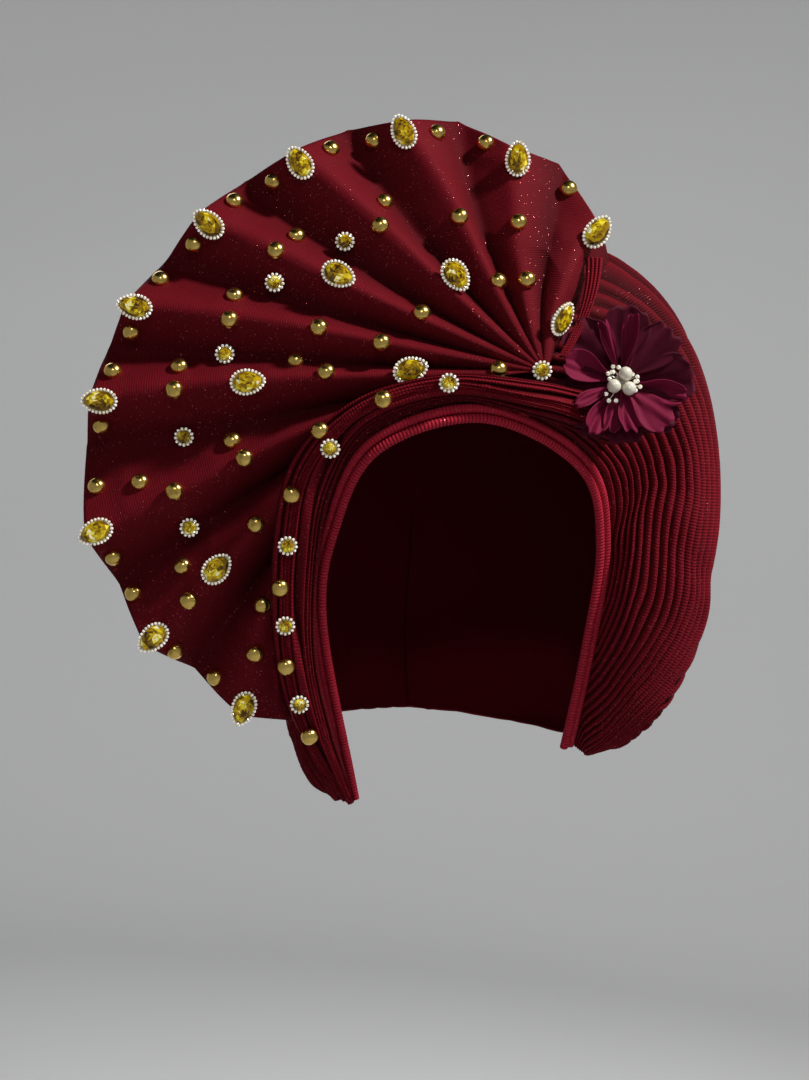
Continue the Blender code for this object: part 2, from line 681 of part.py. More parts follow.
def main():
    clear_scene()
    wine = finish(WINE)
    gold = finish(GOLD)
    fan = make_fan("fan", 0, FAN_SPLIT, 0, wine)
    lower_fan = make_fan("fan_lower", FAN_SPLIT, len(FOLDS) - 1, FAN_SPLIT + FAN_SPLIT_GAP, wine)
    strip = make_turnback(wine)
    brow = make_brow(wine)
    lanes = WRAP_FRONT_LANES + WRAP_BACK_LANES
    wrap = make_wrap("head_wrap", 0, WRAP_FRONT_LANES, 0, wine)
    back_start = BRIM_SHARE + WRAP_SPLIT_GAP
    wrap_back = make_wrap("head_wrap_back", WRAP_FRONT_LANES, lanes, back_start, wine)
    make_roll("face_roll_inner", ROLL_RADIUS, wine)
    make_roll("face_roll_outer", ROLL_RADIUS * 3 + PIECE_GAP * 2, wine)
    make_gems(surface_of([fan, lower_fan, brow]), finish(AMBER))
    cloth = surface_of([fan, strip, brow, wrap, wrap_back])
    make_flower(cloth, finish(PLUM), finish(SILVER), finish(CREAM))
    add_studs(fan, [fan_place(*stud) for stud in FAN_STUDS if stud.fold < FAN_SPLIT], gold)
    add_studs(lower_fan, [fan_place(*stud) for stud in FAN_STUDS if stud.fold > FAN_SPLIT], gold)
    add_studs(brow, [brow_place(*stud) for stud in BROW_STUDS], gold)


main()
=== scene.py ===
import math
import random

import bmesh
import bpy
from mathutils import Matrix, Vector, noise
from mathutils.bvhtree import BVHTree


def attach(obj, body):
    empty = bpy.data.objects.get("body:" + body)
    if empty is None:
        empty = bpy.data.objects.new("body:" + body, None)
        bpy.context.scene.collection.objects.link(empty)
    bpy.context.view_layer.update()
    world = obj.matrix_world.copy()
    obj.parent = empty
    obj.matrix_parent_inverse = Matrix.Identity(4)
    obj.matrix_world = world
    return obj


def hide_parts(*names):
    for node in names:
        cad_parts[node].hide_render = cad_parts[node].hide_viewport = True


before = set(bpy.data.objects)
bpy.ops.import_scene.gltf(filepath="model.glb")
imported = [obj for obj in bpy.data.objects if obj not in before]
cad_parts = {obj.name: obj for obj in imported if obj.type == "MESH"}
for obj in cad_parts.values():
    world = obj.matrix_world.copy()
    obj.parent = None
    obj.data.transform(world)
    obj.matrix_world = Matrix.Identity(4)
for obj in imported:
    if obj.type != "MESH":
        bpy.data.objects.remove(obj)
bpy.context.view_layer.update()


def leaning(turn, lean):  # the directions across and up, turned round Z and leaned over, in degrees
    turn, lean = math.radians(turn), math.radians(lean)
    level = Vector((math.cos(turn), math.sin(turn), 0))
    upright = Vector((0, 0, 1))
    across = level * math.cos(lean) + upright * math.sin(lean)
    return across, upright * math.cos(lean) - level * math.sin(lean)


# camera first: level, from a little to the left of the front, and rolled a little
cameraValues = {
    "place": (-0.216483, -0.976637, -0.018138),
    "turn": -11,        # degrees round Z
    "roll": 5,          # degrees round its own line of sight
    "lens": 63.33,      # mm, on a 36 mm frame height
    "nearest": 0.01,
}


def makeCamera(values):
    turn = math.radians(values["turn"])
    ahead = Vector((-math.sin(turn), math.cos(turn), 0))
    right, up = leaning(values["turn"], values["roll"])
    lens = bpy.data.cameras.new("camera")
    lens.lens = values["lens"]
    lens.clip_start = values["nearest"]
    camera = bpy.data.objects.new("camera", lens)
    facing = Matrix((right, up, -ahead)).transposed().to_4x4()
    camera.matrix_world = Matrix.Translation(values["place"]) @ facing
    bpy.context.scene.collection.objects.link(camera)
    bpy.context.scene.camera = camera


makeCamera(cameraValues)
print("camera made")


# small tools

def between(low, high, share):
    return low + (high - low) * share


def ease(share):
    share = min(max(share, 0.0), 1.0)
    return share * share * (3 - 2 * share)


def lump(place, middle, width):  # 1 at the middle, and almost 0 two widths away
    return math.exp(-((place - middle) / width) ** 2)


def ripple(x, y, z):  # smooth random height round 0
    return noise.noise(Vector((x, y, z)))


def wave(phase):  # 0 at every whole number and 1 halfway between
    return abs(math.sin(math.pi * phase))


def smoothCurve(points, share):  # a smooth curve through points, read at a share of its length
    spans = len(points) - 1
    place = min(max(share, 0.0), 1.0) * spans
    first = min(int(place), spans - 1)
    part = place - first
    here, there = points[first], points[first + 1]
    before = points[first - 1] if first > 0 else here * 2 - there
    after = points[first + 2] if first + 2 <= spans else there * 2 - here
    return 0.5 * (
        here * 2
        + (there - before) * part
        + (before * 2 - here * 5 + there * 4 - after) * part ** 2
        + (here * 3 - before - there * 3 + after) * part ** 3
    )


def roundedFold(share, width):  # a straight flank whose two ends bend over smoothly
    if share < width:
        return share * share / (2 * width * (1 - width))
    if share > 1 - width:
        return 1 - (1 - share) ** 2 / (2 * width * (1 - width))
    return (share - width / 2) / (1 - width)


def aheadOn(curve, along, step=0.01):  # which way a curve runs at a place
    return curve(min(along + step, 1)) - curve(max(along - step, 0))


def facingOf(base, across, along):
    side = aheadOn(lambda place: base(place, along), across)
    return side.cross(aheadOn(lambda place: base(across, place), along)).normalized()


def lengthsAlong(marks):  # how far each mark is from the first, along the line through them
    reached = [0.0]
    for start, end in zip(marks, marks[1:]):
        reached.append(reached[-1] + (end - start).length)
    return reached


def readAt(row, place):  # a value between two neighbours of a row
    first = min(int(place), len(row) - 2)
    return between(row[first], row[first + 1], place - first)


def addPiece(name, shape, materials, nodes=(), smooth=True):
    data = bpy.data.meshes.new(name)
    shape.to_mesh(data)
    shape.free()
    piece = bpy.data.objects.new(name, data)
    bpy.context.scene.collection.objects.link(piece)
    for material in materials:
        data.materials.append(material)
    if smooth:
        data.shade_smooth()
    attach(piece, "root")
    if nodes:
        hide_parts(*nodes)
    return piece


def gridSheet(columns, rows, place, spread, ring=False, flip=False):
    # a grid bent into shape, with its map in metres of cloth
    # place gives each corner's spot and how much painted shade it gets, from 0 to 1, mostly by how deep it
    # lies in a fold
    sheet = bmesh.new()
    bmesh.ops.create_grid(sheet, x_segments=columns, y_segments=rows, size=0.5)
    hollow = sheet.verts.layers.float.new("hollow")
    clothMap = sheet.loops.layers.uv.new("clothMap")
    for face in sheet.faces:
        for loop in face.loops:
            loop[clothMap].uv = spread(loop.vert.co.x + 0.5, loop.vert.co.y + 0.5)
    for vert in sheet.verts:
        vert.co, vert[hollow] = place(vert.co.x + 0.5, vert.co.y + 0.5)
    if ring:
        bmesh.ops.remove_doubles(sheet, verts=sheet.verts[:], dist=0.00001)
    if flip:
        for face in sheet.faces:
            face.normal_flip()
    return sheet


def evenSpread(flat):  # maps the flat cloth evenly over the grid
    return lambda across, along: (across * flat[0], along * flat[1])


def thicken(piece, wall, side):
    solid = piece.modifiers.new("wall", "SOLIDIFY")
    solid.thickness = wall
    solid.offset = side
    solid.use_even_offset = False
    return piece


def surfaceOf(pieces):
    graph = bpy.context.evaluated_depsgraph_get()
    corners, faces = [], []
    for piece in pieces:
        data = piece.evaluated_get(graph).to_mesh()
        first = len(corners)
        corners.extend(vert.co.copy() for vert in data.vertices)
        faces.extend([first + corner for corner in face.vertices] for face in data.polygons)
        piece.evaluated_get(graph).to_mesh_clear()
    return BVHTree.FromPolygons(corners, faces)


# materials: finish holds what is the same all over a surface

def newMaterial(name, values):
    material = bpy.data.materials.new(name)
    material.use_nodes = True
    shader = material.node_tree.nodes["Principled BSDF"]
    shader.inputs["Base Color"].default_value = (*values["colour"], 1)
    shader.inputs["Roughness"].default_value = values["roughness"]
    for socket, value in values.get("finish", {}).items():
        shader.inputs[socket].default_value = value
    return material, material.node_tree, shader


def addNode(tree, kind, values, links):
    node = tree.nodes.new("ShaderNode" + kind)
    for key, value in values.items():
        if isinstance(key, int) or key in node.inputs:
            node.inputs[key].default_value = value
        else:
            setattr(node, key, value)
    for key, source in links.items():
        tree.links.new(source, node.inputs[key])
    return node


def mixColour(tree, share, first, second):
    node = addNode(tree, "Mix", {"data_type": "RGBA"}, {0: share})
    for socket, value in ((node.inputs[6], first), (node.inputs[7], second)):
        if isinstance(value, bpy.types.NodeSocket):
            tree.links.new(value, socket)
        else:
            socket.default_value = (*value, 1)
    return node.outputs[2]


def mapRange(tree, source, values):
    return addNode(tree, "MapRange", values, {"Value": source}).outputs[0]


def objectPlace(tree):
    return addNode(tree, "TexCoord", {}, {}).outputs["Object"]


def cloudOf(tree, scale, detail):
    values = {"Scale": scale, "Detail": detail}
    return addNode(tree, "TexNoise", values, {"Vector": objectPlace(tree)}).outputs["Fac"]


def faceValue(tree, name):  # a value that the mesh carries itself
    return addNode(tree, "Attribute", {"attribute_name": name}, {}).outputs["Fac"]


def wavesOf(tree, direction, pitch, more=None):  # ribs or threads, pitch metres apart on the cloth
    uvMap = addNode(tree, "UVMap", {"uv_map": "clothMap"}, {}).outputs["UV"]
    values = {"wave_type": "BANDS", "bands_direction": direction, "Scale": math.pi / 10 / pitch}
    return addNode(tree, "TexWave", dict(values, **(more or {})), {"Vector": uvMap}).outputs["Fac"]


wineValues = {
    "colour": (0.205, 0.0066, 0.0155),
    # painted shade: the colour between the ribs
    "grooveShade": (0.085, 0.0022, 0.0055),
    "bloom": (0.275, 0.0105, 0.0230),
    "deep": (0.024, 0.0009, 0.0019),     # painted shade colour, for fold bottoms, the gaps between the rolls' ribs and the crown
    "cloud": (24.0, 4.0),       # scale and detail of the change from colour to bloom
    "roughness": 0.58,
    "fanRibs": (0.0012, 0.00010, 0.35),      # metres from rib to rib, how deep they are, and how much painted shade lies between them
    "foldRibs": (0.0016, 0.00020, 0.50),
    "rollRibs": (0.0017, 0.00010, 0.35),
    "ribWander": {"Distortion": 0.25, "Detail": 1.0, "Detail Scale": 0.4},
    "threadPitch": 0.0007,
    "threadDepth": 0.00005,
    "sparkle": (0.62, 0.14, 0.15),
    "sparkleShare": 0.990,
    "sparkleSize": 2800.0,
    "sparkleRoughness": 0.22,
    "finish": {"Sheen Weight": 0.03, "Sheen Roughness": 0.4, "Sheen Tint": (0.9, 0.25, 0.32, 1),
               "Specular IOR Level": 0.05},
}
# the fan gets a darker copy of the cloth colours: painted shade
fanPaintedShadeTones = {"colour": (0.146, 0.0050, 0.0110), "bloom": (0.198, 0.0082, 0.0162)}
# the rolls get a much lighter copy of the cloth colours: painted light
rollPaintedLightTones = {"colour": (0.490, 0.0190, 0.0420), "bloom": (0.590, 0.0290, 0.0600)}
# the inside of the hood gets a darker, duller copy of the cloth: painted shade
shadedInsideValues = {"colour": (0.105, 0.0035, 0.0088), "roughness": 0.9, "finish": {"Specular IOR Level": 0.03}}


def makeWineCloth(name, values, ribPitch, ribDepth, ribShade):
    material, tree, shader = newMaterial(name, values)
    ribs = wavesOf(tree, "Y", ribPitch, values["ribWander"])
    threads = wavesOf(tree, "X", values["threadPitch"])
    cells = addNode(tree, "TexVoronoi", {"Scale": values["sparkleSize"]}, {"Vector": objectPlace(tree)})
    chance = addNode(tree, "SeparateColor", {}, {"Color": cells.outputs["Color"]})
    rare = addNode(tree, "Math", {"operation": "GREATER_THAN", 1: values["sparkleShare"]},
                   {0: chance.outputs[0]}).outputs[0]
    grain = mixColour(tree, cloudOf(tree, *values["cloud"]), values["colour"], values["bloom"])
    # painted shade: the grooves between the ribs turn towards the darker groove colour
    ribbed = mixColour(tree, mapRange(tree, ribs, {"To Min": 1 - ribShade}), values["grooveShade"], grain)
    # painted shade: the cloth turns towards the deep colour as far as each corner's shade value says
    folded = mixColour(tree, faceValue(tree, "hollow"), ribbed, values["deep"])
    tree.links.new(mixColour(tree, rare, folded, values["sparkle"]), shader.inputs["Base Color"])
    shine = mapRange(tree, rare, {"To Min": values["roughness"], "To Max": values["sparkleRoughness"]})
    tree.links.new(shine, shader.inputs["Roughness"])
    tree.links.new(rare, shader.inputs["Metallic"])
    low = addNode(tree, "Bump", {"Strength": 1.0, "Distance": values["threadDepth"]}, {"Height": threads})
    high = addNode(tree, "Bump", {"Strength": 1.0, "Distance": ribDepth},
                   {"Height": ribs, "Normal": low.outputs["Normal"]})
    tree.links.new(high.outputs["Normal"], shader.inputs["Normal"])
    return material


def makeCloudy(name, values):  # two colours, mixed by a cloud
    material, tree, shader = newMaterial(name, values)
    cloud = cloudOf(tree, *values["cloud"])
    mixed = mapRange(tree, cloud, values["worn"]) if "worn" in values else cloud
    tree.links.new(mixColour(tree, mixed, values["colour"], values["other"]), shader.inputs["Base Color"])
    if "dull" in values:
        dull = mapRange(tree, cloud, {"To Min": values["roughness"], "To Max": values["dull"]})
        tree.links.new(dull, shader.inputs["Roughness"])
    return material


goldValues = {
    "colour": (0.90, 0.63, 0.17), "other": (0.52, 0.32, 0.06), "cloud": (240.0, 2.0),
    "worn": {"From Min": 0.55, "From Max": 0.75},       # where the cloud turns to the other colour
    "roughness": 0.16, "dull": 0.32, "finish": {"Metallic": 1.0},
}
silverValues = {
    "colour": (0.82, 0.76, 0.62), "other": (0.55, 0.53, 0.50), "cloud": (500.0, 2.0), "roughness": 0.26,
    "finish": {"Metallic": 1.0},
}
pearlValues = {
    "colour": (0.84, 0.76, 0.58), "other": (0.95, 0.92, 0.80), "cloud": (160.0, 2.0), "roughness": 0.13,
    "finish": {"Coat Weight": 1.0, "Coat Roughness": 0.12, "Specular IOR Level": 0.9},
}
stoneFinish = {"Coat Weight": 0.3, "Coat Roughness": 0.03, "Specular IOR Level": 0.3}
amberValues = {
    "tones": [(0.0, (0.035, 0.015, 0.001)), (0.25, (0.120, 0.060, 0.001)), (0.5, (0.34, 0.195, 0.002)),
              (0.72, (0.62, 0.43, 0.004)), (0.88, (0.92, 0.80, 0.05)), (1.0, (1.0, 0.97, 0.60))],
    "roughness": 0.06,
    "finish": dict(stoneFinish, **{"Emission Strength": 0.18}),      # painted glow: light the stone gives off in its facet tones
}
clearValues = {
    "tones": [(0.0, (0.50, 0.40, 0.24)), (0.3, (0.80, 0.72, 0.56)), (0.65, (1.0, 0.96, 0.86)),
              (1.0, (1.0, 1.0, 0.96))],
    "roughness": 0.05,
    # painted glow, stronger than in the amber stone
    "finish": dict(stoneFinish, **{"Emission Strength": 0.34}),
}


# painted reflections and highlights: each facet takes its tone from the facet value, and glows in that tone
# as painted light
def makeStoneMaterial(name, values):
    tones = values["tones"]
    material, tree, shader = newMaterial(name, dict(values, colour=tones[-1][1]))
    ramp = addNode(tree, "ValToRGB", {}, {"Fac": faceValue(tree, "facet")})
    bands = ramp.color_ramp.elements
    for number, (place, colour) in enumerate(tones):
        band = bands[0] if number == 0 else bands[-1] if place == 1.0 else bands.new(place)
        band.color = (*colour, 1)
    for socket in ("Base Color", "Emission Color"):
        tree.links.new(ramp.outputs["Color"], shader.inputs[socket])
    return material


chiffonValues = {
    "thin": {"colour": (0.080, 0.0025, 0.015), "light": (0.115, 0.0045, 0.024),
             "edge": (0.055, 0.0016, 0.010), "cover": 0.90},
    "doubled": {"colour": (0.190, 0.0060, 0.037), "light": (0.250, 0.0095, 0.055),
                "edge": (0.130, 0.0040, 0.025), "cover": 0.97},
    "cloud": (70.0, 3.0),
    "roughness": 0.62,
    "weave": 0.0004,            # metres from thread to thread
    "weaveDepth": 0.00008,
    "finish": {"Sheen Weight": 0.05, "Sheen Tint": (0.9, 0.4, 0.6, 1), "Specular IOR Level": 0.12},
}


def makeChiffon(name, layer, values):
    material, tree, shader = newMaterial(name, dict(values, colour=layer["colour"]))
    tone = mixColour(tree, cloudOf(tree, *values["cloud"]), layer["edge"], layer["light"])
    threads = {number: wavesOf(tree, "XY"[number], values["weave"]) for number in (0, 1)}
    cross = addNode(tree, "Math", {"operation": "MULTIPLY"}, threads).outputs[0]
    tree.links.new(mixColour(tree, cross, layer["colour"], tone), shader.inputs["Base Color"])
    bump = addNode(tree, "Bump", {"Strength": 0.5, "Distance": values["weaveDepth"]}, {"Height": cross})
    tree.links.new(bump.outputs["Normal"], shader.inputs["Normal"])
    shader.inputs["Alpha"].default_value = layer["cover"]
    return material


wineCloth = makeWineCloth("wineCloth", dict(wineValues, **fanPaintedShadeTones), *wineValues["fanRibs"])
wineFolds = makeWineCloth("wineFoldCloth", wineValues, *wineValues["foldRibs"])
wineRoll = makeWineCloth("wineRollCloth", dict(wineValues, **rollPaintedLightTones), *wineValues["rollRibs"])
shadedInsideCloth = newMaterial("wineShadedInside", shadedInsideValues)[0]
gold = makeCloudy("polishedGold", goldValues)
amber = makeStoneMaterial("amberStone", amberValues)
clear = makeStoneMaterial("clearStone", clearValues)
silver = makeCloudy("silverSetting", silverValues)
pearlLustre = makeCloudy("pearlLustre", pearlValues)
thinChiffon = makeChiffon("plumChiffonThin", chiffonValues["thin"], chiffonValues)
doubledChiffon = makeChiffon("plumChiffonDoubled", chiffonValues["doubled"], chiffonValues)
print("materials made")


# the fan: folds run out from the gather, each row is one fold line
# turns are degrees round the gather, reaches and depths are metres
fanValues = {
    "gather": Vector((0.0152, -0.098, 0.0676)),
    "turn": -11,
    "lean": 5,
    "depthGrowth": 1.2,
    "columnsPerFlank": 12,
    "rows": 100,
    "wall": 0.0013,
    "crease": 0.18,         # how much of each flank bends over at its folds, at the rim
    "cordUntil": 0.55,      # the folds are round cords from the gather to here
    "cordShape": 0.75,      # below 1 the cords are fuller
    "cordDepth": 0.0055,    # how much deeper the dips are between the cords
    "dents": (0.0012, 28, 70),          # height, and how close together the broad and the fine ones are
    "wrinkles": (0.0013, 15, 0.20),     # height, how close together, and how sharp
    "rimCurl": (0.0022, 0.86, 0.9),     # height, where it starts, and how often it turns in each fold
    "hollow": (0.97, 0.50, 0.90),       # how much painted shade lies in the dips at the gather and at the rim, and by when
    "hollowShape": 1.35,
    "flat": (0.56, 0.235),
}
fanFolds = [
    # rim turn, rim reach, rim depth, middle turn, root turn, root reach
    (59.5, 0.072, -0.058, 62, 66, 0.0030),
    (69.5, 0.081, -0.031, 77, 86, 0.0030),
    (84.5, 0.109, -0.049, 88, 97, 0.0030),
    (96.0, 0.116, -0.043, 100, 108, 0.0030),
    (106.5, 0.139, -0.064, 112, 116, 0.0030),
    (118.7, 0.146, -0.042, 117, 124, 0.0030),
    (126.8, 0.160, -0.059, 131, 133, 0.0030),
    (137.4, 0.165, -0.034, 137, 141, 0.0030),
    (145.9, 0.178, -0.050, 149, 150, 0.0030),
    (154.8, 0.186, -0.026, 155.5, 157, 0.0030),
    (162.5, 0.195, -0.041, 163.5, 164, 0.0030),
    (170.7, 0.206, -0.018, 169, 171, 0.0030),
    (176.2, 0.214, -0.034, 176.7, 177, 0.0040),
    (183.4, 0.220, -0.013, 181, 182, 0.0080),
    (188.6, 0.227, -0.035, 188.8, 185, 0.036),
    (199.3, 0.235, -0.016, 196.5, 189.5, 0.088),
    (206.1, 0.233, -0.043, 203, 197, 0.106),
    (214.0, 0.235, -0.028, 210.5, 204, 0.128),
    (219.9, 0.226, -0.057, 216.5, 211, 0.138),
    (228.6, 0.224, -0.044, 221, 215, 0.146),
    (234.0, 0.212, -0.056, 229.5, 224, 0.165),
]

fanAcross, fanUp = leaning(fanValues["turn"], fanValues["lean"])
fanTowards = fanAcross.cross(fanUp)


def onFanPlane(across, up, depth):
    return fanValues["gather"] + fanAcross * across + fanUp * up + fanTowards * depth


def foldPoint(fold, out):  # a place on one fold line, as across, up and depth
    rimTurn, rimReach, rimDepth, middleTurn, rootTurn, rootReach = fold
    reach = between(rootReach, rimReach, out)
    root, middle, rim = (1 - out) * (1 - 2 * out), 4 * out * (1 - out), out * (2 * out - 1)
    turn = math.radians(rootTurn * root + middleTurn * middle + rimTurn * rim)
    depth = rimDepth * (reach / rimReach) ** fanValues["depthGrowth"]
    return Vector((reach * math.cos(turn), reach * math.sin(turn), depth))


def flankAt(fold, out):  # the two fold lines beside a place, and how far it is from one to the other
    first = min(max(int(fold), 0), len(fanFolds) - 2)
    return first, foldPoint(fanFolds[first], out), foldPoint(fanFolds[first + 1], out), fold - first


def fanSpot(fold, out):  # flat flanks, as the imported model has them
    _, start, end, part = flankAt(fold, out)
    return onFanPlane(*between(start, end, part))


def clothFanSpot(fold, out):  # the cloth itself: bent creases, round cords at the gather, a curled rim
    values = fanValues
    first, start, end, part = flankAt(fold, out)
    spot = between(start, end, part)
    bow = between(start.xy.length, end.xy.length, part) / spot.xy.length  # the rim is round from fold to fold
    spot.x *= bow
    spot.y *= bow
    rising = first % 2 == 0  # from a dip up to a ridge
    climb = part if rising else 1 - part
    cord = math.sin(climb * math.pi / 2) ** values["cordShape"]
    height = between(roundedFold(climb, values["crease"]), cord, 1 - ease(out / values["cordUntil"]))
    flank = (end.z - start.z) if rising else (start.z - end.z)
    spot.z += flank * (height - climb)
    if out < values["cordUntil"]:
        spot.z -= values["cordDepth"] * math.sin(out / values["cordUntil"] * math.pi) ** 0.8 * (1 - height)

    tall, broad, fine = values["dents"]
    dents = ripple(spot.x * broad, spot.y * broad, 0) + 0.5 * ripple(spot.x * fine, spot.y * fine, 3 * fine)
    spot.z += dents * tall * ease(out * 1.6) * (1 - 0.6 * abs(2 * climb - 1))
    tall, closeness, width = values["wrinkles"]
    near = abs(ripple(spot.x * closeness, spot.y * closeness, 9 * closeness)) / width
    middle = math.sin(math.pi * min(max(climb, 0), 1))
    spot.z += tall * (1 - min(near, 1)) ** 1.5 * ease(out * 1.6 - 0.3) * middle
    tall, begins, closeness = values["rimCurl"]
    spot.z += tall * ease((out - begins) / (1 - begins)) * ripple(fold * closeness, 0, 5)
    # painted shade: darker in the dips between the folds
    atGather, atRim, reached = values["hollow"]
    hollow = (1 - height) ** values["hollowShape"] * between(atGather, atRim, ease(out / reached))
    return onFanPlane(*spot), hollow


def makeFan(values):
    last = len(fanFolds) - 1

    def spread(across, out):
        fold = across * last
        first = min(int(fold), last - 1)
        reach = [between(row[5], row[1], out) for row in fanFolds[first:first + 2]]
        return across * values["flat"][0], between(*reach, fold - first)

    sheet = gridSheet(last * values["columnsPerFlank"], values["rows"],
                      lambda across, out: clothFanSpot(across * last, out), spread, flip=True)
    fan = addPiece("fan_cloth", sheet, [wineCloth], ["fan", "fan_lower"])
    return thicken(fan, values["wall"], 0)


fanCloth = makeFan(fanValues)
print("fan cloth made")


# the strip that turns back beside the gather
stripValues = {
    "top": (0.0262, 0.0585, -0.0260, 0.0085),      # across, up, depth, width
    "foot": (0.0085, 0.0075, -0.0004, 0.0034),
    "bow": 0.0040,
    "folds": 4,
    "ridge": 0.0014,
    "ridgeShape": 0.7,
    "swell": 0.0012,
    "sink": 0.0008,
    "columns": 40,
    "rows": 44,
    "wall": 0.0010,
    "flat": (0.013, 0.064),
}


def makeStrip(values):
    def spot(side, along):
        ends = zip(values["top"], values["foot"])
        across, up, depth, width = (between(top, foot, along) for top, foot in ends)
        across += values["bow"] * 4 * along * (1 - along)
        ridge = wave(side * values["folds"]) ** values["ridgeShape"]
        rise = values["ridge"] * ridge + values["swell"] * math.sin(math.pi * side) - values["sink"]
        place = onFanPlane(across, up, depth) + fanAcross * (width * (side - 0.5)) + fanTowards * rise
        # painted shade in the dips between the strip's folds
        return place, (1 - ridge) ** 2

    sheet = gridSheet(values["columns"], values["rows"], spot, evenSpread(values["flat"]), flip=True)
    strip = addPiece("fan_turnback_cloth", sheet, [wineFolds], ["fan_turnback"])
    return thicken(strip, values["wall"], -1)


stripCloth = makeStrip(stripValues)
print("turned end made")


# the edge of the face opening, and the two ribbed rolls along it
faceEdge = [Vector(spot) for spot in (
    (0.0670, -0.002, -0.1212), (0.0642, -0.028, -0.0660), (0.0600, -0.048, -0.0125),
    (0.0410, -0.068, 0.0235), (-0.0105, -0.087, 0.0415), (-0.0558, -0.080, 0.0228),
    (-0.0688, -0.056, -0.0150), (-0.0690, -0.038, -0.0630), (-0.0400, -0.003, -0.1540),
)]
rollValues = {
    "radius": 0.0023,
    "gap": 0.0001,
    "sides": 12,
    "rows": 1500,
    "ribPitch": 0.0017,
    "ribDepth": 0.00040,
    "ribShape": 0.7,
    "hollow": 0.6,              # painted shade between the ribs
    "ribStarts": (0.0, 1.1),    # of the inner and the outer roll
    "girth": 0.0132,            # how much cloth goes round a roll
    "headHalfWidth": 0.076,
    "edgeWrap": 0.7,
    "forward": (0.0012, 0.0072),      # how far they stand in front of the edge, at the ends and at the top
    "inward": 0.0010,
    "filled": 0.9,
}


def faceEdgeSpot(along, outward):
    point = smoothCurve(faceEdge, along)
    ahead = aheadOn(lambda place: smoothCurve(faceEdge, place), along).normalized()
    facing = Vector((rollValues["edgeWrap"] * point.x / rollValues["headHalfWidth"], -1, 0)).normalized()
    return point + ahead.cross(facing) * outward, ahead, facing


def rollForward(along):
    return between(*rollValues["forward"], max(math.sin(math.pi * along), 0) ** 0.8)


def makeRoll(side, outward, start, values):
    steps = 400
    reached = lengthsAlong([faceEdgeSpot(step / steps, outward)[0] for step in range(steps + 1)])

    def lengthAt(along):
        return readAt(reached, min(along, 1.0) * steps)

    rows = []
    for row in range(values["rows"] + 1):
        along = row / values["rows"]
        middle, ahead, facing = faceEdgeSpot(along, outward)
        across = ahead.cross(facing).normalized()
        front = across.cross(ahead).normalized()
        rib = abs(math.sin(math.pi * lengthAt(along) / values["ribPitch"] + start)) ** values["ribShape"]
        radius = values["radius"] - values["ribDepth"] * (1 - rib)
        rows.append((middle + facing * rollForward(along), across, front, radius, rib))

    def spot(turn, along):
        middle, across, front, radius, rib = rows[round(along * values["rows"])]
        angle = turn * 2 * math.pi
        # painted shade between the ribs
        hollow = values["hollow"] * (1 - rib) ** 1.5
        return middle + (across * math.cos(angle) + front * math.sin(angle)) * radius, hollow

    sheet = gridSheet(values["sides"], values["rows"], spot,
                      lambda turn, along: (turn * values["girth"], lengthAt(along)), ring=True)
    bmesh.ops.holes_fill(sheet, edges=[edge for edge in sheet.edges if edge.is_boundary])
    bmesh.ops.recalc_face_normals(sheet, faces=sheet.faces[:])
    roll = addPiece(f"face_roll_{side}_cloth", sheet, [wineRoll], [f"face_roll_{side}"])


for side, radii, gaps, start in zip(("inner", "outer"), (1, 3), (0, 2), rollValues["ribStarts"]):
    outward = rollValues["radius"] * radii + rollValues["gap"] * gaps - rollValues["inward"]
    makeRoll(side, outward, start, rollValues)
print("face rolls made")


# brow folds: sections from under the flower over the top of the opening to the tip at its left
browSections = [(Vector(outer), Vector(inner)) for outer, inner in (
    ((0.0580, -0.0830, 0.0600), (0.0560, -0.0720, 0.0360)),
    ((0.0100, -0.1003, 0.0630), (0.0180, -0.0930, 0.0440)),
    ((-0.0315, -0.0945, 0.0616), (-0.0250, -0.0950, 0.0490)),
    ((-0.0723, -0.0830, 0.0459), (-0.0626, -0.0860, 0.0331)),
    ((-0.0983, -0.0700, 0.0159), (-0.0751, -0.0720, 0.0045)),
    ((-0.1030, -0.0590, -0.0262), (-0.0773, -0.0560, -0.0340)),
    ((-0.0960, -0.0430, -0.0760), (-0.0715, -0.0400, -0.0800)),
    ((-0.0800, -0.0260, -0.1150), (-0.0575, -0.0240, -0.1180)),
    ((-0.0500, -0.0080, -0.1520), (-0.0420, -0.0070, -0.1540)),
)]
browValues = {
    "lanes": 9,
    "ridge": 0.0036,
    "ridgeShape": 0.7,
    "unevenHeight": 0.3,
    "swell": 0.0030,
    "sink": 0.72,           # from here to the rolls the folds get half as high
    "columns": 108,
    "rows": 240,
    "wall": 0.0012,
    "sway": 0.40,           # how far the folds wander, in folds
    "spread": 0.085,        # how uneven their widths are
    "cover": 0.93,          # they leave the rolls bare
    "hollow": (0.96, 0.55),             # painted shade in the dips, and on the part towards the rolls
    "flat": (0.058, 0.345),
}


def browBase(lane, along):
    outer, inner = (smoothCurve([section[side] for section in browSections], along) for side in (0, 1))
    return between(outer, inner, lane * browValues["cover"])


def browSwell(lane):
    return browValues["swell"] * 4 * lane * (1 - lane)


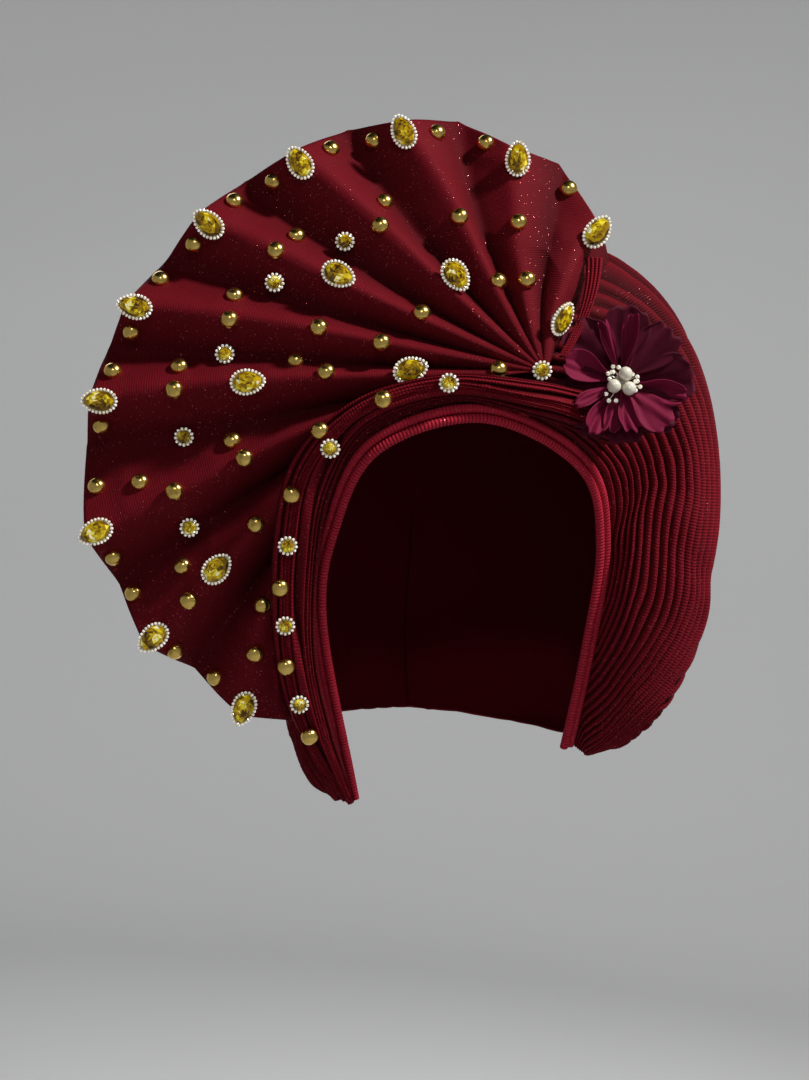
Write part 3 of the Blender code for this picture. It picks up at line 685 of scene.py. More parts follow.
def browSpot(lane, along):
    values = browValues
    middle = math.sin(math.pi * lane)
    uneven = lane + values["spread"] * middle * math.sin(11 * lane + 5 * along)
    phase = uneven * values["lanes"] + values["sway"] * ripple(along * 7, lane * 2.5, 1) * middle
    tall = 1 + values["unevenHeight"] * ripple(math.floor(phase) * 3.1, along * 4, 2)
    inner = between(1, 0.5, ease((lane - values["sink"]) / (1 - values["sink"])))
    rise = browSwell(lane) + values["ridge"] * wave(phase) ** values["ridgeShape"] * tall * inner
    # painted shade in the dips, and on the inner part next to the rolls
    dips, edge = values["hollow"]
    hollow = max(dips * (1 - wave(phase)) ** 1.2, edge * ease((lane - 0.60) / 0.35))
    return browBase(lane, along) - facingOf(browBase, lane, along) * rise, hollow


def makeBrow(values):
    sheet = gridSheet(values["columns"], values["rows"], browSpot, evenSpread(values["flat"]), flip=True)
    brow = addPiece("brow_folds_cloth", sheet, [wineFolds], ["brow_folds"])
    return thicken(brow, values["wall"], -1)


browCloth = makeBrow(browValues)
print("brow folds made")


# the head wrap: arches from the face edge over the brim to the seam at the nape
wrapArches = [[Vector(spot) for spot in arch] for arch in (
    # right foot, right side, top, left side, left foot
    ((0.0805, 0.000, -0.1225), (0.086, -0.055, 0.008), (-0.005, -0.0820, 0.062), (-0.0842, -0.040, -0.010),
     (-0.0540, 0.005, -0.1525)),
    ((0.0850, 0.006, -0.1230), (0.116, -0.044, -0.004), (0.012, -0.0670, 0.099), (-0.087, -0.026, -0.005),
     (-0.0605, 0.016, -0.1430)),
    ((0.0900, 0.014, -0.1200), (0.140, -0.004, -0.016), (0.030, -0.0160, 0.141), (-0.088, -0.002, 0.000),
     (-0.0630, 0.028, -0.1310)),
    ((0.082, 0.038, -0.1180), (0.135, 0.044, -0.014), (0.026, 0.0320, 0.146), (-0.087, 0.032, 0.000),
     (-0.0570, 0.044, -0.1230)),
    ((0.062, 0.064, -0.1160), (0.106, 0.086, -0.010), (0.016, 0.0800, 0.118), (-0.076, 0.072, -0.005),
     (-0.044, 0.062, -0.117)),
    ((0.034, 0.080, -0.1140), (0.058, 0.114, -0.020), (0.008, 0.1120, 0.064), (-0.044, 0.106, -0.020),
     (-0.024, 0.076, -0.115)),
    ((-0.0012, 0.0872, -0.1130), (-0.0012, 0.1232, -0.050), (0, 0.1240, -0.004), (0.0012, 0.1222, -0.050),
     (0.0012, 0.0862, -0.113)),
)]
wrapValues = {
    "sideFullness": 2.4,
    "footFullness": 2.0,
    "lapFrom": 0.55,           # how far down the seam the two sides start to lap
    "start": 0.0098,
    "behindBrow": (0.0084, 0.62, 0.11),     # how far it reaches forward at the left, and from where
    "brim": 3 / 7,             # how far back the brim is
    "frontLanes": 16,
    "backLanes": 12,
    "outerPleat": 0.13,        # share of the front that the wide outer pleat takes
    "outerHeight": 0.35,       # how much higher it is
    "columnsFront": 190,
    "columnsBack": 54,
    "rows": 200,
    "closeRows": (0.30, 0.40),     # the first 0.3 of the way round has 0.4 of the rows
    "ridge": 0.0040,
    "ridgeShape": 0.65,
    "backRidge": 0.0012,
    "unevenHeight": 0.2,
    "dip": 0.0014,
    "footHeight": 0.55,        # the pleats are lower at the feet
    "wall": 0.0012,
    "slide": (8.0, 5.0),       # how many pleats run off into the face edge at the right and the left foot
    "slideFrom": 0.21,
    "slideReach": 0.60,        # how far back they slide
    "kink": (0.55, 0.245, 0.022),      # how many pleats they bend by beside the opening, where, and how wide
    "dent": (0.0022, 0.235, 0.016),    # how deep the cloth is pressed in there
    "sway": [(0.30, 13, 9, 0), (0.16, 40, 20, 4)],     # in pleats, closeness round and back, and a seed
    "grooves": (1.1, 0.5),     # a smaller power gives wider bands of painted shade in the grooves, as on the crown
    "hollow": (0.45, 0.97),    # how much painted shade lies in the grooves at the back and in front
    "crownShade": (0.30, 0.03, 0.08),       # painted shade on the crown: how much darker it is, from what height, over how much
    "flat": (0.50, 0.56),
}


def archQuarter(side, end, share, fullness, laps):
    angle = share * math.pi / 2
    out = max(math.cos(angle), 0) ** (2 / fullness)
    if laps:                # at the seam the two sides lap only below the top
        out = ease((out - wrapValues["lapFrom"]) / (1 - wrapValues["lapFrom"]))
    rise = math.sin(angle) ** (2 / fullness)
    middle = math.sin(angle) ** 2
    return Vector((between(end.x, side.x, out), between(side.y, end.y, middle), between(side.z, end.z, rise)))


def archSpot(arch, along):
    footRight, sideRight, top, sideLeft, footLeft = arch
    part = along * 4
    laps = arch is wrapArches[-1]
    if part <= 1:
        return archQuarter(sideRight, footRight, 1 - part, wrapValues["footFullness"], False)
    if part <= 2:
        return archQuarter(sideRight, top, part - 1, wrapValues["sideFullness"], laps)
    if part <= 3:
        return archQuarter(sideLeft, top, 3 - part, wrapValues["sideFullness"], laps)
    return archQuarter(sideLeft, footLeft, part - 3, wrapValues["footFullness"], False)


def wrapLine(along):  # the places where one line from face edge to seam crosses the arches
    start, _, facing = faceEdgeSpot(along, wrapValues["start"])
    reach, place, over = wrapValues["behindBrow"]
    forward = rollForward(along) * 0.9 + reach * ease((along - place) / over)
    return [start + facing * forward] + [archSpot(arch, along) for arch in wrapArches]


def pleatPhase(back, along):  # counts pleats from the face edge, and slides them into it near the feet
    values = wrapValues
    brim, lanes = values["brim"], values["frontLanes"]
    share = back / brim
    thin = 1 - values["outerPleat"]
    if share <= thin:
        phase = (lanes - 1) * share / thin
    elif share <= 1:
        phase = lanes - 1 + (share - thin) / values["outerPleat"]
    else:
        phase = lanes + values["backLanes"] * (back - brim) / (1 - brim)
    reach = 1 - ease((back - brim * 0.86) / values["slideReach"])
    right = ease((values["slideFrom"] - along) / values["slideFrom"])
    left = ease((along - 1 + values["slideFrom"]) / values["slideFrom"])
    bend, place, width = values["kink"]
    kink = bend * lump(along, place, width) * (1 - 0.5 * share)
    sway = sum(size * ripple(along * rounds, back * backs, seed)
               for size, rounds, backs, seed in values["sway"])
    return phase + reach * (values["slide"][0] * right + values["slide"][1] * left + kink) + sway


def makeWrap(values):
    columns = values["columnsFront"] + values["columnsBack"]
    rows = values["rows"]
    brim = values["brim"]
    step = 0.004

    def alongOf(row):
        reach, share = values["closeRows"]
        part = row / rows
        return reach * part / share if part < share else between(reach, 1, (part - share) / (1 - share))

    def backOf(across):
        column = across * columns
        if column < values["columnsFront"]:
            return brim * column / values["columnsFront"]
        return between(brim, 1, (column - values["columnsFront"]) / values["columnsBack"])

    lines = [[wrapLine(min(max(alongOf(row) + shift, 0), 1)) for shift in (0, -step, step)]
             for row in range(rows + 1)]
    tracks = 20
    lengths = list(zip(*(       # for each row, how long a few lines round the hood are up to there
        lengthsAlong([smoothCurve(line[0], track / tracks) for line in lines]) for track in range(tracks + 1)
    )))

    def spread(across, along):
        back = backOf(across)
        return back * values["flat"][0], readAt(lengths[round(along * rows)], back * tracks)

    def spot(across, share):
        row = round(share * rows)
        along = alongOf(row)
        here, before, after = lines[row]
        back = backOf(across)
        side = aheadOn(lambda place: smoothCurve(here, place), back, step)
        ahead = smoothCurve(after, back) - smoothCurve(before, back)
        facing = side.cross(ahead).normalized()
        phase = pleatPhase(back, along)
        front = 1 - ease((back - brim) / 0.20)
        foot = between(values["footHeight"], 1, ease(min(along, 1 - along) / 0.07))
        wide = 1 + values["outerHeight"] * ease((back / brim - 0.86) / 0.05) * front
        tall = between(values["backRidge"], values["ridge"] * wide, front) * foot
        tall *= 1 + values["unevenHeight"] * ripple(math.floor(phase) * 2.7, along * 6, 8)
        tall *= ease(back / 0.012)
        deep, place, width = values["dent"]
        dent = deep * lump(along, place, width) * ease(back / 0.3) * front
        base = smoothCurve(here, back)
        # painted shade: the crown is darker, and so are the grooves between the pleats
        dark, start, over = values["crownShade"]
        high = ease((base.z - start) / over)
        grooveShade = (1 - wave(phase)) ** between(*values["grooves"], high * front)
        grooveShade *= between(*values["hollow"], front)
        crownShade = dark * high
        seam = ease((1 - back) / 0.04)
        rise = (tall * wave(phase) ** values["ridgeShape"] - values["dip"] * foot - dent) * seam
        return base + facing * rise, crownShade + (1 - crownShade) * grooveShade

    sheet = gridSheet(columns, rows, spot, spread)
    cloths = [wineFolds, shadedInsideCloth]
    wrap = addPiece("head_wrap_cloth", sheet, cloths, ["head_wrap", "head_wrap_back"])
    thicken(wrap, values["wall"], -1).modifiers["wall"].material_offset = 1      # the inside gets the darker cloth, as painted shade
    return wrap


wrapCloth = makeWrap(wrapValues)
print("head wrap made")


# where a piece stands on the cloth

settleFrom, settleReach = 0.012, 0.03      # where the rays towards the cloth start, and how far they go


def standing(middle, facing, tip=90.0, tilt=0.0):
    towards = facing.normalized()
    wish = fanAcross * math.cos(math.radians(tip)) + fanUp * math.sin(math.radians(tip))
    side = wish.cross(towards).normalized()
    turned = Matrix((side, towards.cross(side), towards)).transposed().to_4x4()
    return Matrix.Translation(middle) @ turned @ Matrix.Rotation(math.radians(tilt), 4, "Y")


def settle(place, outline, cloth, sink):  # moves a piece along its own facing until it just meets the cloth
    towards = place.to_3x3() @ Vector((0, 0, 1))
    nearest = None
    for x, y in outline:
        hit = cloth.ray_cast(place @ Vector((x, y, settleFrom)), -towards, settleReach)
        if hit[0] is not None and (nearest is None or hit[3] < nearest):
            nearest = hit[3]
    lift = settleFrom - nearest if nearest is not None else 0
    return place @ Matrix.Translation((0, 0, lift - sink))


fanGround = surfaceOf([fanCloth])
browGround = surfaceOf([browCloth])
flowerGround = surfaceOf([fanCloth, stripCloth, browCloth, wrapCloth])


# gold studs, glued where a fold and a share of the way out or along say
studValues = {"radius": 0.0045, "height": 0.0040, "rise": 0.0007, "back": -0.0008, "sides": 20, "rings": 13}
fanStuds = [
    (1.70, 0.950), (2.85, 0.385), (3.00, 0.645), (3.50, 0.955), (4.50, 0.940), (4.60, 0.335),
    (5.05, 0.585), (5.65, 0.940), (6.30, 0.715), (6.50, 0.955), (7.05, 0.640), (7.65, 0.950),
    (8.35, 0.765), (8.45, 0.965), (8.75, 0.345), (9.00, 0.765), (9.50, 0.960), (10.40, 0.775),
    (10.40, 0.970), (10.95, 0.530), (11.05, 0.375), (11.10, 0.740), (11.55, 0.960), (12.05, 0.085),
    (12.05, 0.550), (12.45, 0.810), (12.50, 0.965), (12.80, 0.460), (13.05, 0.800), (13.55, 0.965),
    (14.35, 0.570), (14.50, 0.965), (14.60, 0.825), (15.00, 0.420), (14.95, 0.680), (15.50, 0.958),
    (16.25, 0.958), (16.45, 0.705), (16.90, 0.285), (17.00, 0.715), (17.45, 0.955), (18.40, 0.940),
    (18.90, 0.400), (19.10, 0.650),
]
browStuds = [(0.41, 0.340), (0.10, 0.440), (0.22, 0.543), (0.17, 0.670), (0.20, 0.770), (0.30, 0.883)]


def fanFacing(fold, out):
    low, high = max(fold - 0.3, 0), min(fold + 0.3, len(fanFolds) - 1)
    ahead = aheadOn(lambda place: fanSpot(fold, place), out, 0.02)
    return ahead.cross(fanSpot(high, out) - fanSpot(low, out)).normalized()


def browFacing(lane, along):
    return -facingOf(browBase, lane, along)


def browFlatSpot(lane, along):
    return browBase(lane, along) + browFacing(lane, along) * (browSwell(lane) + browValues["ridge"] * 0.8)


def studShape(values):  # a ball with a flat back, which is glued to the cloth
    stud = bmesh.new()
    radius = values["radius"]
    bmesh.ops.create_uvsphere(stud, u_segments=values["sides"], v_segments=values["rings"], radius=radius)
    bmesh.ops.scale(stud, vec=(1, 1, values["height"] / radius), verts=stud.verts[:])
    bmesh.ops.translate(stud, vec=(0, 0, values["rise"]), verts=stud.verts[:])
    cut = bmesh.ops.bisect_plane(stud, geom=stud.verts[:] + stud.edges[:] + stud.faces[:],
                                 plane_co=(0, 0, values["back"]), plane_no=(0, 0, -1), clear_outer=True)
    rim = [part for part in cut["geom_cut"] if isinstance(part, bmesh.types.BMEdge)]
    for edge in rim:
        edge.smooth = False
    bmesh.ops.holes_fill(stud, edges=rim)
    bmesh.ops.recalc_face_normals(stud, faces=stud.faces[:])
    for face in stud.faces:
        face.smooth = len(face.verts) < 5
    shape = bpy.data.meshes.new("studShape")
    stud.to_mesh(shape)
    stud.free()
    return shape


def makeStuds(name, spots, spotOf, facing, ground, values):
    studs = bmesh.new()
    shape = studShape(values)
    for spot in spots:
        first = len(studs.verts)
        studs.from_mesh(shape)
        place = settle(standing(spotOf(*spot), facing(*spot)), [(0, 0)], ground, 0)
        bmesh.ops.transform(studs, matrix=place, verts=list(studs.verts)[first:])
    bpy.data.meshes.remove(shape)
    addPiece(name, studs, [gold], smooth=False)


makeStuds("fan_studs", fanStuds, fanSpot, fanFacing, fanGround, studValues)
makeStuds("brow_studs", browStuds, browFlatSpot, browFacing, browGround, studValues)
print("studs made")


# gems: a faceted stone in a silver setting with a ring of small clear stones
# each level of a block is a share of its outline, a height and, for the stone, a turn counted in facets
gemValues = {
    "rim": {"width": 0.0142, "length": 0.0188, "point": 0.30, "halo": 25},
    "drop": {"width": 0.0144, "length": 0.0182, "point": 0.30, "halo": 25},
    "round": {"width": 0.0100, "length": 0.0100, "point": 0, "halo": 13},
    "small": 0.00082,           # a small stone's size
    "haloInset": (2, 2.2),      # how much narrower and shorter than the gem, in small stones
    "stoneInset": (4.1, 4.3),
    "stoneSides": 11,
    "stoneLevels": [(0.96, 0.0010, 0), (1.0, 0.00219, 0), (0.98, 0.0027, 0), (0.80, 0.0037, 0.5),
                    (0.58, 0.0040, 0)],
    "tableInset": 0.10,         # share of the width
    "tableRise": 0.00005,
    "plateLevels": [(0.98, 0, 0), (0.98, 0.0007, 0)],
    "collarLevels": [(1.04, 0.0006, 0), (1.04, 0.0022, 0), (1.00, 0.0026, 0), (0.97, 0.0022, 0)],
    "plateSides": 28,
    "collarSides": 20,
    "cup": (6, 0.5, 0.95, 0.0012, 0.0009),     # sides, two radii in small stones, depth and height
    "haloHeight": 0.0019,
    "clawRadius": 0.00055,
    "clawHeight": 0.0030,
    "pointedClaws": (0.5, 2.1, math.pi, 2 * math.pi - 2.1, 2 * math.pi - 0.5),
    "roundClaws": (0.8, 2.35, 3.9, 5.5),
    "patch": 0.45,              # how far neighbouring facets share a painted reflection tone
    "haloSeed": 500,            # added to a gem's own, for its small stones
    "facetOrder": Vector((1.0, 0.618, 0.325)),         # facets get their painted reflection tones in order along this direction
    "sink": 0.0003,
}
rimGems = [
    # fold, share of the way out, where the tip points
    (0.85, 0.955, 55), (2.95, 0.945, 88), (5.08, 0.950, 112), (7.12, 0.955, 122), (9.08, 0.960, 138),
    (11.00, 0.975, 168), (13.05, 0.975, 178), (15.03, 0.965, 205), (17.03, 0.953, 222), (19.03, 0.963, 250),
]
dropGems = [
    # fold, out, tip, tilt
    (8.80, 0.590, -25, 0), (6.00, 0.385, -55, 0), (13.05, 0.630, 5, 0), (12.50, 0.275, 18, 0),
    (17.00, 0.525, 48, 0), (0.95, 0.330, 62, 45),
]
roundFanGems = [(7.75, 0.665), (9.70, 0.715), (11.95, 0.720), (14.05, 0.735), (15.85, 0.650)]
roundBrowGems = [(0.33, 0.253), (0.57, 0.447), (0.28, 0.613), (0.27, 0.713), (0.33, 0.827)]
gatherGem = (-0.0014, 0.0006, 0.004)        # across, up and depth


def gemSpot(size, turn, share=1.0, height=0.0):  # on the outline, from the round end to the tip and back
    narrow = abs(math.cos(turn / 2)) ** size["point"] if size["point"] else 1
    across = 0.5 * size["width"] * share * math.sin(turn) * narrow
    return Vector((across, -0.5 * size["length"] * share * math.cos(turn), height))


def evenTurns(size, count):  # turns that lie at even distances along the outline
    fine = [2 * math.pi * number / 240 for number in range(241)]
    reached = lengthsAlong([gemSpot(size, turn) for turn in fine])
    turns, first = [], 0
    for number in range(count):
        wanted = reached[-1] * number / count
        while reached[first + 1] < wanted:
            first += 1
        share = (wanted - reached[first]) / (reached[first + 1] - reached[first])
        turns.append(between(fine[first], fine[first + 1], share))
    return turns


def outlineBlock(shape, size, sides, levels, closed=False):  # an open underside is hidden in the setting
    turnLayer = shape.verts.layers.float.get("turn") or shape.verts.layers.float.new("turn")
    made = bmesh.ops.create_circle(shape, cap_ends=True, segments=sides, radius=0.5)["verts"]
    top = made[0].link_faces[0]
    for vert, turn in zip([loop.vert for loop in top.loops], evenTurns(size, sides)):
        vert[turnLayer] = turn
        vert.co = gemSpot(size, turn, *levels[0][:2])
    for share, height, shift in levels[1:]:
        made = bmesh.ops.extrude_face_region(shape, geom=[top], use_keep_orig=closed)["geom"]
        below = top
        top = [part for part in made if isinstance(part, bmesh.types.BMFace)][0]
        if below.is_valid and not closed:
            bmesh.ops.delete(shape, geom=[below], context="FACES_ONLY")
        for vert in [part for part in made if isinstance(part, bmesh.types.BMVert)]:
            vert[turnLayer] += shift * 2 * math.pi / sides
            vert.co = gemSpot(size, vert[turnLayer], share, height)
    return top


def shadeFacets(shape, seed, patch=0.0):  # each facet keeps a painted reflection tone of its own; patch groups them into areas
    facet = shape.faces.layers.float.new("facet")
    tones = random.Random(seed)
    for face in shape.faces:
        area = 0.52 + 1.5 * noise.noise(face.calc_center_median() * 230 + Vector((seed * 3.7, 0, 0)))
        face[facet] = min(max(between(tones.random(), area, patch), 0), 1)


def addBall(shape, radius, place):
    bmesh.ops.create_icosphere(shape, subdivisions=1, radius=radius, matrix=place)


def addCup(shape, sides, low, high, depth, place):  # round, and wider or narrower towards the top
    bmesh.ops.create_cone(shape, cap_ends=True, segments=sides, radius1=low, radius2=high, depth=depth,
                          matrix=place)


def makeGem(node, size, place, seed, values):
    small = values["small"]
    stoneSize, haloSize = (
        dict(size, width=size["width"] - across * small, length=size["length"] - along * small)
        for across, along in (values["stoneInset"], values["haloInset"])
    )
    stone = bmesh.new()
    table = outlineBlock(stone, stoneSize, values["stoneSides"], values["stoneLevels"])
    bmesh.ops.inset_region(stone, faces=[table], thickness=size["width"] * values["tableInset"],
                           depth=values["tableRise"])
    bmesh.ops.poke(stone, faces=[table], offset=values["tableRise"])
    quads = [face for face in stone.faces if len(face.verts) == 4]
    bmesh.ops.triangulate(stone, faces=quads, quad_method="SHORT_EDGE")
    bmesh.ops.recalc_face_normals(stone, faces=stone.faces[:])
    stone.faces.sort(key=lambda face: face.calc_center_median().dot(values["facetOrder"]))
    shadeFacets(stone, seed, values["patch"])
    stone.transform(place)
    addPiece(node + "_stone", stone, [amber], [node], smooth=False)

    setting = bmesh.new()
    halo = bmesh.new()
    outlineBlock(setting, haloSize, values["plateSides"], values["plateLevels"], closed=True)
    outlineBlock(setting, stoneSize, values["collarSides"], values["collarLevels"])
    sides, low, high, depth, height = values["cup"]
    for turn in evenTurns(haloSize, size["halo"]):
        cup = Matrix.Translation(gemSpot(haloSize, turn, 1.0, height))
        addCup(setting, sides, small * low, small * high, depth, cup)
        ball = Matrix.Translation(gemSpot(haloSize, turn, 1.0, values["haloHeight"]))
        addBall(halo, small * high, ball @ Matrix.Rotation(turn * 5, 4, "Z"))
    for turn in values["pointedClaws"] if size["point"] else values["roundClaws"]:
        claw = gemSpot(stoneSize, turn, 1.0, values["clawHeight"])
        addBall(setting, values["clawRadius"], Matrix.Translation(claw))
    for shape in (setting, halo):
        bmesh.ops.recalc_face_normals(shape, faces=shape.faces[:])
    shadeFacets(halo, seed + values["haloSeed"])
    for part, shape, material in (("_setting", setting, silver), ("_halo", halo, clear)):
        shape.transform(place)
        addPiece(node + part, shape, [material], smooth=False)


def gemPlaces():
    gems = []
    for kind, rows in (("rim", rimGems), ("drop", dropGems), ("round", roundFanGems)):
        for fold, out, *turns in rows:
            gems.append((kind, standing(fanSpot(fold, out), fanTowards, *turns), fanGround))
    for spot in roundBrowGems:
        place = standing(browFlatSpot(*spot), browFacing(*spot) + fanTowards)
        gems.append(("round", place, browGround))
    gems.append(("round", standing(onFanPlane(*gatherGem), fanTowards), flowerGround))
    return gems


def makeGems(values):
    made = {"rim": 0, "drop": 0, "round": 0}
    for seed, (kind, place, ground) in enumerate(gemPlaces()):
        size = values[kind]
        outline = [gemSpot(size, 2 * math.pi * number / 12, 0.9)[:2] for number in range(12)] + [(0, 0)]
        place = settle(place, outline, ground, values["sink"])
        makeGem(f"gem_{kind}_{made[kind]}", size, place, seed, values)
        made[kind] += 1


makeGems(gemValues)
print("gems made")


# the flower: petals in two layers round a centre of pearls and small stones
flowerValues = {
    "middle": Vector((0.0560, -0.082, 0.0670)),
    "facing": Vector((-0.12, -1.0, 0.0)),
    "columns": 18,
    "rows": 22,
    "wall": 0.0004,
    "root": 0.0016,             # how far from the middle the petals start
    "narrow": 0.60,             # how wide they are there, beside their full spread
    "wideFrom": 0.6,            # the full spread is reached here, and the round end starts
    "pleats": 0.0005,
    "ripples": 0.0040,
    "step": 0.0004,             # how much higher one petal lies than the last, three times over
    "starts": {"back": 0.0, "front": 0.0018},
    "rings": ((0.012, 8), (0.022, 12)),        # where rays find the cloth under the flower
    "clear": 0.0004,            # how far it stands off the cloth
}
backPetals = [
    # turn, reach, half of its spread in degrees, lift at the tip, middle fold, how far its two sides curl up
    (131, 0.0352, 33, 0.0062, 0.0012, 0.0010, 0.0030),
    (86, 0.0365, 27, 0.0064, -0.0014, 0.0022, 0.0012),
    (46, 0.0352, 27, 0.0056, 0.0010, 0.0012, 0.0026),
    (5, 0.0352, 30, 0.0060, -0.0012, 0.0024, 0.0010),
    (318, 0.0330, 28, 0.0050, 0.0010, 0.0012, 0.0020),
    (274, 0.0302, 30, 0.0045, 0.0012, 0.0012, 0.0016),
    (232, 0.0318, 26, 0.0045, -0.0010, 0.0024, 0.0010),
    (192, 0.0335, 20, 0.0050, 0.0010, 0.0010, 0.0026),
]
frontPetals = [
    (161, 0.0300, 21, 0.0095, -0.0022, 0.0026, 0.0010),
    (111, 0.0302, 10, 0.0105, 0.0024, 0.0002, 0.0026),
    (83, 0.0322, 10, 0.0095, -0.0024, 0.0030, 0.0004),
    (345, 0.0316, 17, 0.0070, -0.0020, 0.0010, 0.0026),
    (315, 0.0305, 24, 0.0090, 0.0016, 0.0026, -0.0010),
    (281, 0.0246, 21, 0.0095, -0.0016, 0.0014, 0.0004),
    (255, 0.0250, 16, 0.0085, 0.0020, 0.0010, 0.0004),
    (236, 0.0296, 16, 0.0105, -0.0024, 0.0020, 0.0008),
    (205, 0.0262, 11, 0.0085, 0.0016, 0.0006, 0.0016),
]


def petalSpot(petal, side, out, seed, values):
    turn, reach, spread, lift, fold, curlLow, curlHigh = petal
    offset = 2 * side - 1
    rim = 1 - 0.08 * offset ** 2 + 0.10 * ripple(seed * 5.3, offset * 2.4, 0)
    radius = between(values["root"], reach * rim, out)
    start = values["wideFrom"]
    opened = between(values["narrow"], 1.0, ease(out / start))
    if out > start:
        opened *= math.sqrt(1 - 0.62 * ((out - start) / (1 - start)) ** 2)    # the end is round
    angle = math.radians(turn + offset * spread * opened + 5 * ripple(seed * 3.7, out * 2, 4) * out)
    rise = lift * out ** 1.4
    rise += fold * (1 - offset ** 2) ** 2 * math.sin(math.pi * min(out * 0.9 + 0.08, 1))
    rise += values["pleats"] * math.cos(9 * offset + seed) * (1 - out) ** 1.4 * out ** 0.5
    rise += values["ripples"] * ripple(seed * 2.1, offset * 2.1, out * 1.6 + 7) * out ** 2
    curl = curlHigh if offset > 0 else curlLow
    rise += curl * abs(offset) ** 2.2 * math.sin(math.pi * (0.15 + 0.7 * out))
    return Vector((radius * math.cos(angle), radius * math.sin(angle), rise))


def makePetals(side, petals, place, chiffon, values):
    flower = bmesh.new()
    clothMap = flower.loops.layers.uv.new("clothMap")
    area = 0
    for number, petal in enumerate(petals):
        made = bmesh.ops.create_grid(
            flower, x_segments=values["columns"], y_segments=values["rows"], size=0.5)["verts"]
        for face in {face for vert in made for face in vert.link_faces}:
            for loop in face.loops:
                x, y = loop.vert.co.xy
                loop[clothMap].uv = ((x + 0.5 + number) * 0.024, (y + 0.5) * petal[1])
        rise = Vector((0, 0, values["starts"][side] + values["step"] * (number % 3)))
        for vert in made:
            vert.co = petalSpot(petal, vert.co.x + 0.5, vert.co.y + 0.5, number + len(petals), values) + rise
        area += math.radians(petal[2]) * petal[1] ** 2
    bmesh.ops.reverse_faces(flower, faces=flower.faces[:])
    flower.transform(place)
    piece = addPiece(f"flower_{side}_petals", flower, [chiffon], [f"flower_{side}"])
    return thicken(piece, values["wall"], 0), area


def flowerOutline(values):
    spots = [(0, 0)]
    for radius, count in values["rings"]:
        turns = [2 * math.pi * number / count for number in range(count)]
        spots.extend((radius * math.cos(turn), radius * math.sin(turn)) for turn in turns)
    return spots


flowerPlace = settle(standing(flowerValues["middle"], flowerValues["facing"]), flowerOutline(flowerValues),
                     flowerGround, -flowerValues["clear"])
backFlower, backArea = makePetals("back", backPetals, flowerPlace, thinChiffon, flowerValues)
frontFlower, frontArea = makePetals("front", frontPetals, flowerPlace, doubledChiffon, flowerValues)
print("petals made")


centreValues = {
    "rise": 0.0046,
    "disc": (24, 0.0045, 0.0038, 0.0010),      # sides, the two radii and the depth
    "arm": (8, 0.0005, 0.0004),
    "armStart": 0.003,
    "cup": (10, 0.0008, 0.0012, 0.0012),
    "cupRise": 0.0008,
    "cluster": ((-0.30, -0.0014), (0.0, 0.0), (0.30, -0.0016)),        # bend and extra reach of each stone
    "stoneRadius": 0.00115,
    "stoneSeed": 77,
    "lift": 0.0006,             # how far the stones and the pearls stand above it
    "pearlRadius": 0.0034,
    "pearls": ((0.0012, 0.0037), (-0.0044, -0.0023), (0.0030, -0.0034)),
    "arms": ((18, 0.0078), (121, 0.0085), (150, 0.0078), (235, 0.0112), (345, 0.0091)),      # turn, reach
}


def makeFlowerCentre(place, values):
    sprig, stones = bmesh.new(), bmesh.new()
    rise, start = values["rise"], values["armStart"]
    addCup(sprig, *values["disc"], Matrix.Translation((0, 0, rise)))
    for turn, reach in values["arms"]:
        spin = Matrix.Rotation(math.radians(turn), 4, "Z")
        lying = Matrix.Translation(((reach + start) / 2, 0, rise)) @ Matrix.Rotation(math.pi / 2, 4, "Y")
        addCup(sprig, *values["arm"], reach - start, spin @ lying)
        for bend, extra in values["cluster"]:
            far = reach + extra
            spot = (far * math.cos(bend), far * math.sin(bend), rise + values["cupRise"])
            where = spin @ Matrix.Translation(spot)
            addCup(sprig, *values["cup"], where)
            addBall(stones, values["stoneRadius"], where @ Matrix.Translation((0, 0, values["lift"])))
    shadeFacets(stones, values["stoneSeed"])
    for part, shape, material in (("sprig", sprig, silver), ("sprig_stones", stones, clear)):
        shape.transform(place)
        nodes = ["flower_sprig"] if part == "sprig" else []
        addPiece(f"flower_{part}_fine", shape, [material], nodes, smooth=False)
    radius = values["pearlRadius"]
    for number, (across, up) in enumerate(values["pearls"]):
        pearl = bmesh.new()
        bmesh.ops.create_uvsphere(pearl, u_segments=40, v_segments=24, radius=radius,
                                  matrix=Matrix.Translation((across, up, rise + values["lift"] + radius)))
        pearl.transform(place)
        addPiece(f"pearl_{number}_round", pearl, [pearlLustre], [f"pearl_{number}"])


makeFlowerCentre(flowerPlace, centreValues)
print("flower centre made")


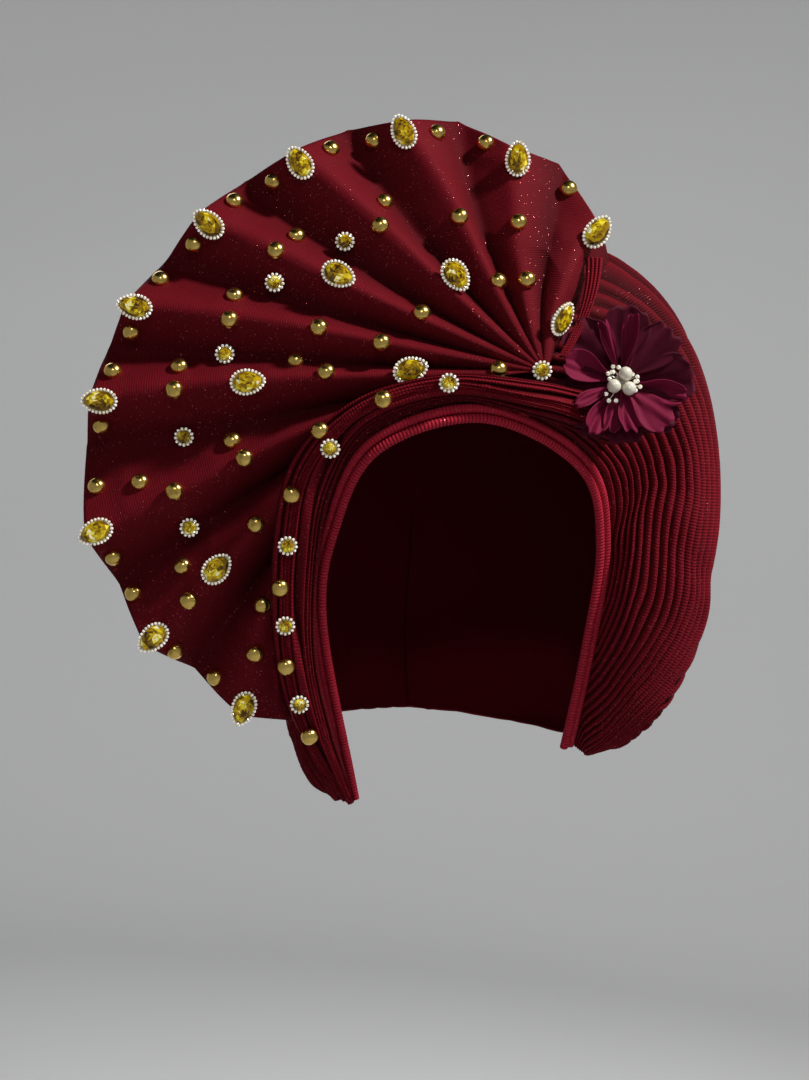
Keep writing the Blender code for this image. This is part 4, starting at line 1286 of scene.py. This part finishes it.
# a round pale floor that bends up into a backdrop on every side, and soft studio light
stageValues = {
    "floor": -0.55,
    "radius": 1.90,
    "bend": 0.50,
    "height": 1.50,
    "turns": 96,
    "rings": 48,
    "paper": {"colour": (0.40, 0.405, 0.41), "roughness": 0.85},
    "lights": [
        # name, place, aim, size, watts, colour
        ("keyLight", (0.84, -0.74, 1.34), (0, -0.05, 0), 0.18, 33, (1.0, 0.97, 0.94)),
        ("fillLight", (-0.35, -1.5, 0.85), (0, 0, 0), 0.16, 2.3, (0.95, 0.97, 1.0)),
        ("backLight", (-0.45, 1.45, 0.95), (0, 0, 0), 0.90, 4.0, (1.0, 1.0, 1.0)),
        ("wallLight", (0.25, 0.25, 0.20), (0.05, 1.90, 0.05), 1.00, 13.0, (1.0, 1.0, 1.0)),
    ],
    "world": {"Color": (0.85, 0.88, 0.92, 1), "Strength": 0.006},
}


def stageProfile(run, values):  # how far out and how high the stage is, after a run from its middle
    flat = values["radius"] - values["bend"]
    arc = values["bend"] * math.pi / 2
    if run < flat:
        return run, 0
    if run < flat + arc:
        angle = (run - flat) / values["bend"]
        return flat + values["bend"] * math.sin(angle), values["bend"] * (1 - math.cos(angle))
    return values["radius"], values["bend"] + run - flat - arc


def makeStage(values):
    stage = bmesh.new()
    bmesh.ops.create_grid(stage, x_segments=values["turns"], y_segments=values["rings"], size=0.5)
    whole = values["radius"] - values["bend"] + values["bend"] * math.pi / 2 + values["height"]
    for vert in stage.verts:
        turn = (vert.co.x + 0.5) * 2 * math.pi
        reach, rise = stageProfile((vert.co.y + 0.5) * whole, values)
        vert.co = (reach * math.cos(turn), reach * math.sin(turn), values["floor"] + rise)
    bmesh.ops.remove_doubles(stage, verts=stage.verts[:], dist=0.0001)
    bmesh.ops.reverse_faces(stage, faces=stage.faces[:])
    data = bpy.data.meshes.new("stage")
    stage.to_mesh(data)
    stage.free()
    data.shade_smooth()
    backdrop = bpy.data.objects.new("stage", data)
    bpy.context.scene.collection.objects.link(backdrop)
    data.materials.append(newMaterial("stagePaper", values["paper"])[0])


def makeLights(values):
    scene = bpy.context.scene
    for name, place, aim, size, watts, colour in values["lights"]:
        lamp = bpy.data.lights.new(name, "AREA")
        lamp.size = size
        lamp.energy = watts
        lamp.color = colour
        light = bpy.data.objects.new(name, lamp)
        light.location = place
        light.rotation_euler = (Vector(aim) - Vector(place)).to_track_quat("-Z", "Y").to_euler()
        light.visible_camera = False
        scene.collection.objects.link(light)
    world = bpy.data.worlds.new("studio")
    world.use_nodes = True
    for socket, value in values["world"].items():
        world.node_tree.nodes["Background"].inputs[socket].default_value = value
    scene.world = world
    scene.view_settings.view_transform = "Standard"


makeStage(stageValues)
makeLights(stageValues)
print("stage made")
